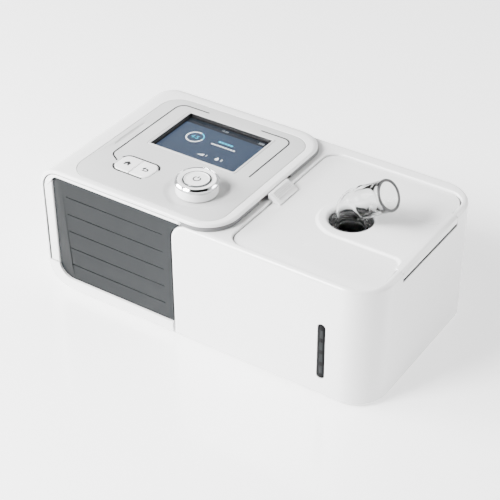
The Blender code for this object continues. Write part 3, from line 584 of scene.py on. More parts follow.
def fibrous(name, colour, shadedGaps, cellScale):
    finish, tree, shader = startFinish(name, Roughness=0.95)
    skin = useGroup(tree, fibreCells, Colour=colour, Gaps=shadedGaps, Cell_Scale=cellScale)
    tree.links.new(skin.outputs["Colour"], shader.inputs["Base Color"])
    bumpFrom(tree, shader, skin.outputs["Height"], 0.8, 0.0004)
    return finish


def clearPlastic(name, colour, gloss, ior):
    finish, tree, shader = startFinish(name, Transmission_Weight=1.0, IOR=ior)
    skin = useGroup(tree, mouldGrain, Colour=colour, Shade=tuple(0.94 * c for c in colour),
                    Drift=0.5, Grain_Scale=400.0, Gloss=gloss, Gloss_Spread=0.03)
    tree.links.new(skin.outputs["Colour"], shader.inputs["Base Color"])
    tree.links.new(skin.outputs["Roughness"], shader.inputs["Roughness"])
    return finish


def slatePaint():
    # satin grey with a fine metal flake, and a painted sheen that makes it a little lighter towards the right
    finish, tree, shader = startFinish("slateSatin", Specular_IOR_Level=0.12)
    coordinates = tree.nodes.new("ShaderNodeTexCoord")
    split = tree.nodes.new("ShaderNodeSeparateXYZ")
    tree.links.new(coordinates.outputs["Object"], split.inputs[0])
    # painted sheen: the grey ramps lighter towards the right
    across = mathStep(tree, "MULTIPLY_ADD", split.outputs["X"], 8.5)
    across.node.inputs[2].default_value = 1.1
    across.node.use_clamp = True
    base = mixColour(tree, across, (0.0050, 0.0062, 0.0070), (0.0125, 0.0142, 0.0155))
    skin = useGroup(tree, mouldGrain, Colour=base, Shade=(0.011, 0.0125, 0.0135), Drift=0.25,
                    Grain_Scale=3500.0, Gloss=0.42, Gloss_Spread=0.05)
    flake = mathStep(tree, "MULTIPLY", noiseAt(tree, 5200.0, 1.0), 0.05, clamp=True)
    tree.links.new(skin.outputs["Colour"], shader.inputs["Base Color"])
    tree.links.new(flake, shader.inputs["Metallic"])
    tree.links.new(skin.outputs["Roughness"], shader.inputs["Roughness"])
    bumpFrom(tree, shader, skin.outputs["Height"], 0.12)
    return finish


def lampFace(name, colour, strength):
    # lit marks on the display, with the cells' slight unevenness
    finish, tree, shader = startFinish(name, Emission_Strength=strength)
    skin = useGroup(tree, mouldGrain, Colour=colour, Shade=tuple(0.85 * c for c in colour), Drift=0.3,
                    Grain_Scale=6000.0, Gloss=0.35)
    tree.links.new(skin.outputs["Colour"], shader.inputs["Emission Color"])
    tree.links.new(skin.outputs["Colour"], shader.inputs["Base Color"])
    tree.links.new(skin.outputs["Roughness"], shader.inputs["Roughness"])
    return finish


def displayFace():
    # slate blue picture with a darker bar at its back edge and a black border
    finish, tree, shader = startFinish("displayPicture", Roughness=0.3, Emission_Strength=1.0,
                                       Specular_IOR_Level=0.1)
    low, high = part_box("screen_window")
    coordinates = tree.nodes.new("ShaderNodeTexCoord")
    split = tree.nodes.new("ShaderNodeSeparateXYZ")
    tree.links.new(coordinates.outputs["Object"], split.inputs[0])
    margin = {"side": 0.0023, "back": 0.0024, "front": 0.0019, "bar": 0.0086, "fade": 0.00015}
    edges = [("X", low.x + margin["side"], 1), ("X", high.x - margin["side"], -1),
             ("Y", low.y + margin["front"], 1), ("Y", high.y - margin["back"], -1)]
    inside = 1.0
    for axis, place, way in edges:
        away = mathStep(tree, "MULTIPLY", mathStep(tree, "SUBTRACT", split.outputs[axis], place), way)
        sharp = mathStep(tree, "DIVIDE", away, margin["fade"], clamp=True)
        inside = mathStep(tree, "MULTIPLY", sharp, inside)
    depth = mathStep(tree, "SUBTRACT", split.outputs["Y"], high.y - margin["bar"])
    bar = mathStep(tree, "DIVIDE", depth, margin["fade"], clamp=True)
    slope = mathStep(tree, "MULTIPLY_ADD", split.outputs["X"], -9.0, clamp=True)
    slope.node.inputs[2].default_value = 0.1
    field = mixColour(tree, slope, (0.055, 0.085, 0.145), (0.085, 0.125, 0.200))
    picture = mixColour(tree, bar, field, (0.020, 0.028, 0.040))
    skin = useGroup(tree, mouldGrain, Colour=picture, Shade=(0.05, 0.08, 0.14), Drift=0.12,
                    Grain_Scale=5000.0, Gloss=0.3)
    colour = mixColour(tree, inside, (0.002, 0.002, 0.003), skin.outputs["Colour"])
    tree.links.new(mixColour(tree, 0.88, colour, (0.0, 0.0, 0.0)), shader.inputs["Base Color"])
    tree.links.new(colour, shader.inputs["Emission Color"])
    tree.links.new(skin.outputs["Roughness"], shader.inputs["Roughness"])
    return finish


def boardFinish():
    # solder mask with pale traces
    finish, tree, shader = startFinish("circuitBoard", Coat_Weight=0.3, Coat_Roughness=0.2)
    coordinates = tree.nodes.new("ShaderNodeTexCoord")
    bricks = tree.nodes.new("ShaderNodeTexBrick")
    tree.links.new(coordinates.outputs["Object"], bricks.inputs["Vector"])
    for label, value in (("Scale", 160.0), ("Mortar Size", 0.06)):
        bricks.inputs[label].default_value = value
    base = mixColour(tree, bricks.outputs["Fac"], (0.012, 0.105, 0.045), (0.030, 0.230, 0.100))
    skin = useGroup(tree, mouldGrain, Colour=base, Shade=(0.01, 0.08, 0.035), Grain_Scale=1500.0, Gloss=0.4)
    tree.links.new(skin.outputs["Colour"], shader.inputs["Base Color"])
    tree.links.new(skin.outputs["Roughness"], shader.inputs["Roughness"])
    bumpFrom(tree, shader, bricks.outputs["Fac"], 0.4)
    return finish


finishes = {
    "shell": plastic("glossWhiteShell", (0.80, 0.80, 0.80), (0.74, 0.74, 0.745), 0.26, depth=0.05,
                     Coat_Weight=0.25, Coat_Roughness=0.12),
    "panel": plastic("satinPanelWhite", (0.50, 0.503, 0.503), (0.44, 0.443, 0.443), 0.33, depth=0.08),
    "slate": slatePaint(),
    "frame": plastic("greyFramePlastic", (0.13, 0.132, 0.134), (0.10, 0.102, 0.104), 0.42, depth=0.2),
    "black": plastic("blackFittingPlastic", (0.014, 0.014, 0.015), (0.03, 0.03, 0.032), 0.30, depth=0.2),
    # black print, also laid in seams and round the elbow's mouth as painted shade
    "print": plastic("printAndPaintedShade", (0.004, 0.004, 0.005), (0.007, 0.007, 0.008), 0.5, dust=0.0),
    "chrome": metal("polishedChrome", (0.80, 0.81, 0.82), (0.64, 0.65, 0.66), 0.02, 0.2, 0.0),
    "darkChrome": metal("smokedChrome", (0.17, 0.175, 0.18), (0.10, 0.105, 0.11), 0.10, 0.2, 0.0),
    "steel": metal("drawnStainless", (0.56, 0.56, 0.57), (0.36, 0.36, 0.37), 0.24, 0.6),
    "window": clearPlastic("screenWindowClear", (0.95, 0.96, 0.97), 0.03, 1.15),
    "clear": clearPlastic("clearPolycarbonate", (0.97, 0.975, 0.975), 0.02, 1.16),
    "smoke": plastic("smokedLens", (0.0025, 0.0026, 0.003), (0.004, 0.004, 0.005), 0.10, dust=0.0,
                     IOR=1.12),
    "levelSteps": plastic("levelSteps", (0.014, 0.015, 0.016), (0.020, 0.021, 0.022), 0.12, dust=0.0,
                          IOR=1.12),
    "rubber": plastic("blackRubber", (0.022, 0.022, 0.022), (0.045, 0.044, 0.042), 0.75, grain=1200.0,
                      depth=0.5, dust=0.3),
    "silicone": plastic("paleSilicone", (0.60, 0.62, 0.62), (0.52, 0.54, 0.54), 0.5, grain=1600.0),
    "foam": fibrous("openCellFoam", (0.16, 0.16, 0.17), (0.03, 0.03, 0.03), 700.0),
    "filter": fibrous("filterFibre", (0.80, 0.80, 0.77), (0.55, 0.55, 0.52), 1500.0),
    "board": boardFinish(),
    "display": displayFace(),
    "litWhite": lampFace("litWhite", (0.80, 0.83, 0.85), 2.2),
    "litCyan": lampFace("litCyan", (0.01, 0.42, 0.62), 1.6),
    "dimWhite": lampFace("dimWhite", (0.30, 0.33, 0.37), 0.8),
}
print("finishes ready:", len(finishes))


# outlines and profiles
def roundInset(distance, radius):
    # how far a rolled edge has drawn in, this far from the flat that it runs into
    if distance >= radius or radius <= 0:
        return 0.0
    return radius - math.sqrt(radius ** 2 - (radius - max(distance, 0.0)) ** 2)


def stops(start, end, *rolls, steps=10):
    # heights from start to end, close together beside each roll: (flat's height, radius),
    # with a negative radius where the roll starts at the bottom
    found = {start, end}
    for flat, radius in rolls:
        for step in range(steps + 1):
            found.add(flat - radius * (1 - math.sin(math.pi / 2 * step / steps)))
    inner = [z for z in sorted(found) if start + 0.03 < z < end - 0.03]
    return [start] + inner + [end]


def rolled(points, radius, steps=4, closed=True):
    # the same outline with its corners rounded
    result = []
    count = len(points)
    for i, corner in enumerate(points):
        if not closed and i in (0, count - 1):
            result.append(tuple(corner))
            continue
        here = Vector(corner)
        before = Vector(points[i - 1]) - here
        after = Vector(points[(i + 1) % count]) - here
        reach = min(radius, before.length * 0.45, after.length * 0.45)
        first, last = here + before.normalized() * reach, here + after.normalized() * reach
        for step in range(steps + 1):
            t = step / steps
            result.append(tuple((1 - t) ** 2 * first + 2 * t * (1 - t) * here + t * t * last))
    return result


def boxCutter(name, low, high):
    outline = [(low[0], low[1]), (high[0], low[1]), (high[0], high[1]), (low[0], high[1])]
    return slab(name, outline, low[2], high[2])


def squashed(piece, centre, scale):
    # scales a piece about its own centre and puts that at the given spot
    piece.data.transform(Matrix.Translation(centre) @ Matrix.Diagonal((*scale, 1.0)))
    return piece


# casing of the control half
well = {"left": 110.0, "right": 145.0, "back": 136.0, "corner": 14.0, "rightInFrame": 144.5}
seats = {"foot": (6.3, 3.2), "case": (3.1, 3.6)}      # radius and depth under feet and case screws
bezelShape = {"corner": 13.6, "opening": 6.3, "edge": 0.7, "split": 121.4}
bezelSeam = {"width": 0.5, "left": 2.8, "right": 121.0, "top": 99.6, "front": 0.55, "back": 2.4,
             "corner": 14.3, "innerCorner": 13.7}


def seatCutter(node):
    radius, depth = seats[node.split("_")[0]]
    x, y, _ = partMiddle(node)
    return disc(node + "_seat", (x, y, 0), radius, -5, depth)


def wellCutter(left, right, low):
    corners = (0, well["corner"], well["corner"], 0)
    return slab("controlWell", roundRect((left, unit["well"]), (right, well["back"]), corners), low, 110)


def caseRing(z, inset=0.0, raised=False):
    top, foot = unit["top"] - inset, unit["foot"] + inset
    left = inset + roundInset(top - z, unit["leftTop"] - inset)
    left += roundInset(z - foot, unit["leftBottom"] - inset)
    fall = roundInset(top - z, unit["backTop"] - inset)
    edge = 0.0 if inset else roundInset(top - z, unit["topEdge"]) + roundInset(z - foot, 1.0)
    back = inset + max(fall, edge)
    front = inset + edge
    right = unit["split"] - unit["gap"] - inset
    corner = 0.3
    if raised:
        right = unit["step"] - inset - edge
        corner = unit["topCorner"] - inset - edge
    backLeft = unit["backCorner"] - back
    return lift(roundRect((left, front), (right, unit["depth"] - back),
                          (0.3 if inset else 1.3, corner, corner, backLeft), 12), z)


def buildTopCasing():
    top, wall, under, gap = unit["top"], unit["wall"], unit["rimUnder"], unit["gap"]
    levels = stops(unit["parting"], top, (top, unit["leftTop"]), (top, unit["backTop"]),
                   (top, unit["topEdge"]))
    rings = [caseRing(z) for z in levels if z < under]
    rings += [caseRing(under), caseRing(under, raised=True)]
    rings += [caseRing(z, raised=True) for z in levels if z > under]
    shell = loft("top_casing_shell", rings)
    ceiling = top - wall
    roomLevels = stops(unit["parting"] - 6, ceiling, (ceiling, unit["leftTop"] - wall),
                       (ceiling, unit["backTop"] - wall), steps=6)
    room = loft("casingRoom", [caseRing(z, inset=wall) for z in roomLevels])
    mouth = slab("casingMouth", roundRect((wall, 0), (bezelShape["split"], ceiling),
                                          (0, 0, 0, unit["leftTop"] - wall)), -5, 12, "Y")
    panelOutline = widerRect(*partBox("control_panel"), gap, controls["corner"], 12)
    panelHole = slab("panelHole", panelOutline, 95, 110)
    low, high = partBox("filter_door")
    doorHole = boxCutter("doorHole", (low.x - gap, 140, low.z - gap), (high.x + gap, 155, high.z + gap))
    carve(shell, room, mouth, panelHole, doorHole)
    roundEdges(shell, 0.22)
    deliver(shell, "main_unit", "shell", "top_casing")


def buildBaseTray():
    foot, wall, bottom = unit["foot"], unit["wall"], unit["leftBottom"]
    levels = stops(foot, unit["parting"] - unit["gap"], (foot, -bottom), (foot, -1.0))
    shell = loft("base_tray_shell", [caseRing(z) for z in levels])
    roomLevels = stops(foot + wall, unit["parting"] + 5, (foot + wall, wall - bottom), steps=6)
    room = loft("trayRoom", [caseRing(z, inset=wall) for z in roomLevels])
    low = partBox("front_panel")[0]
    mouth = slab("trayMouth", roundRect((low.x - 0.3, low.z - 0.3), (140, 60), (12, 0, 0, 0)), -5, 12, "Y")
    x, _, z = partMiddle("dc_inlet")
    socket = disc("socketHole", (x, unit["depth"], z), 5.9, -6, 6, tip="X")
    seated = ["foot_front_left", "foot_back_left"] + [f"case_screw_{i}" for i in range(1, 5)]
    carve(shell, room, mouth, socket, *[seatCutter(node) for node in seated])
    roundEdges(shell, 0.22)
    deliver(shell, "main_unit", "shell", "base_tray")


def buildFrontBezel():
    b = bezelShape
    low, high = partBox("front_bezel")
    panelLow, panelHigh = partBox("front_panel")
    gap = unit["gap"]
    outline = roundRect((low.x, low.z), (high.x, high.z), (0, 0, 0, b["corner"]), 12)
    bezel = slab("front_bezel_lip", outline, low.y, high.y, "Y")
    opening = roundRect((panelLow.x - gap, 0), (150, panelHigh.z + gap), (0, 0, 0, b["opening"]))
    carve(bezel, slab("bezelOpening", opening, -5, 12, "Y"))
    roundEdges(bezel, b["edge"], 4)
    deliver(bezel, "main_unit", "shell", "front_bezel")
    # painted shade: a black strip fills the seam round the lip, where the gap is dark with shade
    m = bezelSeam
    outline = roundRect((m["left"], unit["parting"]), (m["right"], m["top"]), (0, 0, 0, m["corner"]), 12)
    seam = slab("bezel_seam_shade", outline, m["front"], m["back"], "Y")
    inner = roundRect((m["left"] + m["width"], 0), (150, m["top"] - m["width"]),
                      (0, 0, 0, m["innerCorner"]), 12)
    carve(seam, slab("seamRoom", inner, -5, 12, "Y"))
    deliver(seam, "main_unit", "print")


frontGrooves = {"count": 5, "first": 24.5, "pitch": 14.5, "left": 22.2, "right": 105.4,
                "height": 0.8, "depth": 0.5}
panelCorners = {"bottom": 12.0, "top": 6.0}


def buildFrontPanel():
    low, high = partBox("front_panel")
    centre = (unit["split"] + unit["shoulder"], unit["bodyTop"] - unit["shoulder"])
    radius = unit["shoulder"] + unit["gap"]
    end = math.degrees(math.acos((high.x - centre[0]) / radius))
    r = panelCorners["bottom"]
    outline = arcPoints((low.x + r, low.z + r), r, 180, 270, 12)
    outline += [(unit["split"] - unit["gap"], low.z)] + arcPoints(centre, radius, 180, end, 10)
    r = panelCorners["top"]
    outline += [(high.x, high.z)] + arcPoints((low.x + r, high.z - r), r, 90, 180, 8)
    panel = slab("front_panel_face", outline, low.y, high.y, "Y")
    g = frontGrooves
    carve(panel, barRow("frontGrooveCuts", g["count"], ((g["left"] + g["right"]) / 2, low.y, g["first"]),
                        (0, 0, g["pitch"]), (g["right"] - g["left"], 2 * g["depth"], g["height"]),
                        "slate"))
    roundEdges(panel, 0.18)
    deliver(panel, "main_unit", "slate", "front_panel")


# how far the frame stays below the rim and behind the back edge, with its corner and its seam's
frameShape = {"top": 0.55, "corner": 23.4, "behind": 0.7, "seam": 0.05, "seamBack": 5.3, "seamCorner": 23.5}


def buildMiddleFrame():
    f = frameShape
    low, high = partBox("middle_frame")
    under = unit["rimUnder"]
    top = under - f["top"]
    rings = []
    for step in range(5):
        z = low.z + (top - low.z) * step / 4
        back = unit["depth"] - roundInset(unit["top"] - z, unit["backTop"]) - f["behind"]
        rings.append(lift(roundRect((low.x, low.y), (high.x, back), (0, f["corner"], f["corner"], 0), 12), z))
    frameRing = loft("middle_frame_ring", rings)
    bezelRoom = ((100, -10, 80), (bezelShape["split"], 14, 110))
    recess = slab("latchRecess", roundRect((147.5, 50), (160, 90), (3, 0, 0, 3)), 90, 110)
    carve(frameRing, wellCutter(100, well["rightInFrame"], 80), boxCutter("bezelRoom", *bezelRoom), recess)
    roundEdges(frameRing, 0.25)
    deliver(frameRing, "main_unit", "frame", "middle_frame")
    # painted shade: a black strip lies in the seam under the raised top's rim, where the gap is dark with
    # shade
    corners = (0, f["seamCorner"], f["seamCorner"], 0)
    outline = roundRect((low.x, 0.5), (unit["step"] - 0.45, unit["depth"] - f["seamBack"]), corners, 12)
    seam = slab("rim_seam_shade", outline, top + f["seam"], under - f["seam"])
    carve(seam, wellCutter(100, well["rightInFrame"], 80), boxCutter("bezelRoom", *bezelRoom))
    deliver(seam, "main_unit", "print")


# controls
controls = {"dishRadius": 24.5, "dishDepth": 1.3, "dishSlope": 7.0, "scoop": (28.3, 68.7),
            "scoopHalf": (1.9, 18.5, 0.9), "keyRadius": 5.6, "corner": 16.0, "bushHole": 4.5}


def keysSpan():
    # both keys share one opening and one printed outline
    return partBox("home_key")[0], partBox("back_key")[1]


def buildControlPanel():
    c = controls
    low, high = partBox("control_panel")
    top = high.z
    x, y, _ = partMiddle("knob_ring")
    panel = softSlab("control_panel_face", low, high, c["corner"], edge=0.4, steps=12)
    floor, flat = top - c["dishDepth"], c["dishRadius"] - c["dishSlope"]
    profile = [(0, 90), (c["bushHole"], 90), (c["bushHole"], floor)]
    for step in range(9):
        share = step / 8
        rise = c["dishDepth"] * (1 - math.cos(math.pi * share)) / 2
        profile.append((flat + c["dishSlope"] * share, floor + rise))
    profile += [(c["dishRadius"] + 0.01, top + 4), (0, top + 4)]
    dish = turned("dish", profile, (x, y, 0), 96)
    screen = slab("screenHole", widerRect(*partBox("screen_bezel"), 0.3, 1.7, 4), 90, 110)
    keys = slab("keysHole", widerRect(*keysSpan(), 0.4, c["keyRadius"], 6), 90, 110)
    half = [(0.0, -1.0)] + arcPoints((0, 0), 1.0, -80, 80, 8) + [(0.0, 1.0)]
    scoop = squashed(turned("scoop", half, (0, 0, 0), 40), (*c["scoop"], top), c["scoopHalf"])
    carve(panel, dish, screen, keys, scoop)
    roundEdges(panel, 0.16)
    deliver(panel, "main_unit", "panel", "control_panel", degrees=18)
    # painted shade: a black strip lines the gap round the panel, which is dark with shade
    seam = [lift(widerRect(low, high, out, c["corner"], 12), z) for out, z in
            ((0.02, low.z), (0.02, top - 0.3), (0.28, top - 0.3), (0.28, low.z))]
    deliver(loft("panel_seam_shade", seam, loop=True), "main_unit", "print")


# the two lines round the panel and the ring round the keys: where they run and how wide they are
printed = {"thick": 0.06, "width": 1.2, "back": 123.3, "left": 34.3, "right": 132.4, "corner": 7.0,
           "leftTurn": (6.0, 43.5), "leftEnd": (42.6, 34.9), "rightEnd": 67.0, "gapFrom": 60.0,
           "gapTo": 105.6,
           "keyWidth": 1.25, "keyOut": 1.1, "keyCorner": 6.8}


def buildPrintedLines():
    p = printed
    height = unit["top"] + p["thick"] / 2
    back, left, right, r = p["back"], p["left"], p["right"], p["corner"]
    around = [(p["gapFrom"], back)] + arcPoints((left + r, back - r), r, 90, 180, 8)
    turn, turnFrom = p["leftTurn"]
    around += arcPoints((left + turn, turnFrom), turn, 180, 240, 6) + [p["leftEnd"]]
    beside = [(p["gapTo"], back)] + arcPoints((right - r, back - r), r, 90, 0, 8) + [(right, p["rightEnd"])]
    line = strip("printed_line", [around, beside], height, p["width"], p["thick"], "print")
    deliver(line, "main_unit", "print", slot="control_plastic")
    (left, front), (right, back) = [(corner.x + way * p["keyOut"], corner.y + way * p["keyOut"])
                                    for corner, way in zip(keysSpan(), (-1, 1))]
    r = p["keyCorner"]
    upper = arcPoints((left + r, back - r), r, 165, 90, 8) + arcPoints((right - r, back - r), r, 90, 10, 8)
    lower = arcPoints((left + r, front + r), r, 190, 270, 8) + [(right - 4.2, front)]
    pill = strip("key_outline", [upper, lower], height, p["keyWidth"], p["thick"], "print")
    deliver(pill, "main_unit", "print", slot="control_plastic")


def buildKeys():
    for node, marks in (("home_key", "house"), ("back_key", "arrow")):
        low, high = partBox(node)
        r = controls["keyRadius"]
        radii = (r, 0.4, 0.4, r) if node == "home_key" else (0.4, r, r, 0.4)
        key = softSlab(node + "_cap", low, high, radii, edge=0.7, fine=5)
        deliver(key, node, "shell", node, degrees=40)
        x, y, _ = partMiddle(node)
        if marks == "house":
            outline = [(-2.2, -2.2), (-0.7, -2.2), (-0.7, -0.6), (0.7, -0.6), (0.7, -2.2), (2.2, -2.2),
                       (2.2, 0.3), (3.0, 0.3), (0, 2.8), (-3.0, 0.3), (-2.2, 0.3)]
        else:
            outline = [(-2.8, 0.6), (-0.4, 2.7), (-0.4, 1.4), (1.2, 1.4)]
            outline += arcPoints((1.2, -0.4), 1.8, 90, -90, 8)
            outline += [(-1.6, -2.2), (-1.6, -1.2), (1.0, -1.2)]
            outline += arcPoints((1.0, -0.4), 0.8, -90, 90, 5) + [(-0.4, 0.4), (-0.4, -1.2)]
        mark = slab(node + "_mark", [(x + u, y + v) for u, v in outline], high.z - 0.05, high.z + 0.04)
        deliver(mark, node, "print")


# radii of the knob's core, wall, stem and of the button and trim in its middle
knobShape = {"core": 9.9, "wall": 13.5, "ringBore": 13.7, "sideGap": 0.5, "bush": 2.9, "button": 9.0,
             "trim": (9.05, 9.75), "stem": 2.3, "buttonFoot": 106.6, "sign": 2.5}


def buildKnob():
    k = knobShape
    x, y, _ = partMiddle("knob_ring")
    low, high = partBox("knob_ring")
    radius, top, foot = (high.x - low.x) / 2, high.z, partBox("knob_body")[0].z
    centre = (x, y, 0)
    side, core, wall, bush = radius - k["sideGap"], k["core"], k["wall"], k["bush"]
    body = turned("knob_skirt", rolled([
        (core, top - 0.9), (wall, top - 0.25), (wall, top - 3.5), (side, top - 3.9), (side, foot + 1.1),
        (side - 0.6, foot), (bush + 1.0, foot), (bush + 1.0, foot + 2.4), (bush, foot + 2.4),
        (bush, foot + 3.8), (core, foot + 3.8)], 0.35), centre, 120)
    bore = k["ringBore"]
    ring = turned("knob_chrome_ring", rolled([
        (bore, top - 0.5), (bore + 0.2, top), (bore + 0.5, top), (radius, top - 1.3), (radius, top - 2.8),
        (radius - 0.4, top - 3.5), (bore, top - 3.2)], 0.2, 3), centre, 120)
    deliver(body, "knob", "shell", "knob_body", degrees=50)
    deliver(ring, "knob", "chrome", "knob_ring", degrees=60)
    stemFoot, buttonTop = (corner.z for corner in partBox("start_button"))
    outer = [(k["button"], buttonTop), (k["button"], k["buttonFoot"]), (k["stem"], k["buttonFoot"]),
             (k["stem"], stemFoot)]
    button = turned("start_button_cap", [(0, buttonTop - 0.35), (4.5, buttonTop - 0.28)] +
                    rolled([(8.2, buttonTop - 0.05)] + outer, 0.3) + [(0, stemFoot)], centre, 96)
    inner, rim = k["trim"]
    trim = turned("start_button_trim", rolled([
        (inner, buttonTop + 0.05), (rim, buttonTop - 0.05), (rim, buttonTop - 1.2), (inner, buttonTop - 1.2)],
        0.12, 3), centre, 96)
    deliver(button, "start_button", "shell", "start_button", degrees=50)
    deliver(trim, "start_button", "darkChrome")
    # a power mark: an open ring and a short bar
    arc = arcPoints((x, y), k["sign"], 130, 410, 28)
    mark = strip("power_mark", [arc, [(x, y + 0.9), (x, y + 3.3)]], buttonTop - 0.22, 0.75, 0.16, "print")
    deliver(mark, "start_button", "print")


# display
# how far the surround reaches over the glass, its corner radius and how much it stands proud
screenShape = {"margin": 1.9, "corner": 1.8, "lip": 0.12}


def buildScreen():
    m, lip = screenShape["margin"], screenShape["lip"]
    low, high = partBox("screen_bezel")
    glassLow, glassHigh = partBox("screen_window")
    opening = (glassLow.x + m, glassLow.y + m), (glassHigh.x - m, glassHigh.y - m)
    # outside up, over the rim and down the slope to the glass
    rings = [lift(widerRect(low, high, out, screenShape["corner"], 6), z) for out, z in
             ((0, low.z), (0, high.z - 0.2), (-0.1, high.z), (-0.4, high.z + lip))]
    rings += [lift(widerRect(*opening, out, 0.5, 6), z) for out, z in
              ((0.9, high.z + lip), (0.45, high.z), (0.3, high.z - 0.3), (0.3, low.z))]
    deliver(loft("screen_surround", rings, loop=True), "main_unit", "panel", "screen_bezel", degrees=40)
    glass = glassHigh.z
    mask = [lift(widerRect(*opening, out, 0.6, 6), z) for out, z in
            ((0.28, high.z - 0.35), (0.28, glass + 0.02), (-0.5, glass + 0.02), (-0.5, glass + 0.12),
             (-0.05, glass + 0.25), (0.0, high.z - 0.35))]
    deliver(loft("screen_mask", mask, loop=True), "main_unit", "print")
    window = softSlab("screen_glass", glassLow, glassHigh, 0.6, edge=0.2, floorEdge=0.2)
    deliver(window, "main_unit", "window", "screen_window")
    module = softSlab("display_panel", *partBox("display_module"), 0.8, edge=0.3, floorEdge=0.3)
    deliver(module, "main_unit", "display", "display_module")


# what the screen shows, and where: a gauge ring, two rows of blocks, and small signs
picture = {"ring": (66.9, 95.1), "ringRadius": 6.5, "ringWidth": 0.95, "thick": 0.08,
           "rows": {"note": ((86.2, 98.9), 5, 2.5, (2.0, 1.7), "litCyan"),
                    "line": ((82.8, 94.1), 9, 2.3, (1.5, 1.35), "litWhite")},
           "figures": {"pressure_figures": ("4.5", (66.9, 95.1), 5.2, "litCyan"),
                       "ramp_figure": ("1", (88.5, 78.3), 3.2, "litWhite"),
                       "water_figure": ("2", (101.0, 78.9), 3.2, "litWhite"),
                       "clock_figures": ("12:30", (81.0, 112.8), 2.6, "dimWhite")},
           "ramp": (84.2, 78.3), "drop": (97.2, 78.9), "cell": (112.6, 112.8)}


def show(piece, finish):
    deliver(piece, "main_unit", finish)


def writeFigures(name, text, spot, size, finish, height):
    letters = bpy.data.curves.new(name, "FONT")
    letters.body = text
    letters.size = size
    letters.extrude = picture["thick"] / 2
    letters.align_x = "CENTER"
    letters.align_y = "CENTER"
    piece = newPiece(name + "_text", letters)
    graph = bpy.context.evaluated_depsgraph_get()
    mesh = bpy.data.meshes.new_from_object(piece.evaluated_get(graph))
    bpy.data.objects.remove(piece, do_unlink=True)
    mesh.transform(Matrix.Translation((*spot, height)))
    show(newPiece(name, mesh), finish)


def buildPicture():
    p = picture
    height, thick = partBox("display_module")[1].z + 0.05, p["thick"]
    for name, start, end, steps, finish in (("pressure_ring", 75, 360, 60, "litWhite"),
                                            ("pressure_arc", 0, 72, 18, "litCyan")):
        arc = arcPoints(p["ring"], p["ringRadius"], start, end, steps)
        show(strip(name, [arc], height, p["ringWidth"], thick, finish), finish)
    for name, (text, spot, size, finish) in p["figures"].items():
        writeFigures(name, text, spot, size, finish, height)
    for name, (first, count, pitch, size, finish) in p["rows"].items():
        row = barRow(name + "_blocks", count, (*first, height), (pitch, 0, 0), (*size, thick), finish)
        show(row, finish)
    low, high = height - thick / 2, height + thick / 2
    x, y = p["ramp"]
    ramp = [(x - 2.6, y - 1.3), (x + 2.0, y - 1.3), (x + 2.0, y + 1.3)]
    show(slab("ramp_mark", ramp, low, high), "litWhite")
    x, y = p["drop"]
    drop = arcPoints((x, y - 0.5), 1.35, 150, 390, 20) + [(x, y + 2.1)]
    show(slab("water_mark", drop, low, high), "litWhite")
    x, y = p["cell"]
    outline = [(x - 2, y - 0.9), (x + 2, y - 0.9), (x + 2, y + 0.9), (x - 2, y + 0.9)]
    show(strip("cell_outline", [outline], height, 0.3, thick, "dimWhite", closed=True), "dimWhite")
    show(barRow("cell_charge", 3, (x - 1.15, y, height), (1.15, 0, 0), (0.85, 1.1, thick), "dimWhite"),
         "dimWhite")


# humidifier half
def housingRing(z, inset=0.0):
    top, foot = unit["bodyTop"] - inset, unit["foot"] + inset
    edge = roundInset(top - z, unit["housingEdge"] - inset) + roundInset(z - foot, 1.6 - inset)
    lean = roundInset(top - z, unit["shoulder"] - inset)
    left, front = unit["split"] + inset, inset + edge
    right, back = unit["width"] - inset - edge, unit["depth"] - inset - edge
    corner = unit["housingCorner"] - inset - edge
    if inset:
        return lift(roundRect((left + lean, front), (right, back), (0.3, corner, corner, 0.3), 14), z)
    outline = roundRect((left + lean, front), (right, back), (max(3.6 - edge, 0.4), corner, corner, 0.4), 14)
    # the shoulder ends in a step that the raised top covers
    outline += [(left, unit["well"]), (left + lean, unit["well"])]
    return lift(outline, z)


lidSeam = {"gap": 0.6, "radii": (10.5, 13.5, 12.5, 10.5), "rimRoll": 0.9, "right": 1.0, "lidRight": 264.3}


def lidEdges():
    low, high = partBox("lid")
    return (low.x, low.y), (lidSeam["lidRight"], high.y)


def wrapSpan():
    # the lid wraps the hinge over this much of its back-to-front length
    low, high = partBox("hinge_pin")
    return low.y + 3.5, high.y - 3.5


def lidMouth():
    # the room that the lid lies in; its rim rolls over into the mouth
    low, high = lidEdges()
    top, gap, roll = unit["bodyTop"], lidSeam["gap"], lidSeam["rimRoll"]
    rolls = [(0, 88.0)]
    for step in range(7):
        angle = math.pi / 2 * step / 6
        rolls.append((roll * (1 - math.cos(angle)), top - roll + roll * math.sin(angle)))
    rings = []
    for out, z in rolls + [(roll, top + 8)]:
        front = (low[0] - gap - out, low[1] - gap - out)
        back = (high[0] + lidSeam["right"] + out * 0.5, high[1] + gap + out)
        rings.append(lift(roundRect(front, back, tuple(r + gap + out for r in lidSeam["radii"]), 12), z))
    return loft("lidMouth", rings)


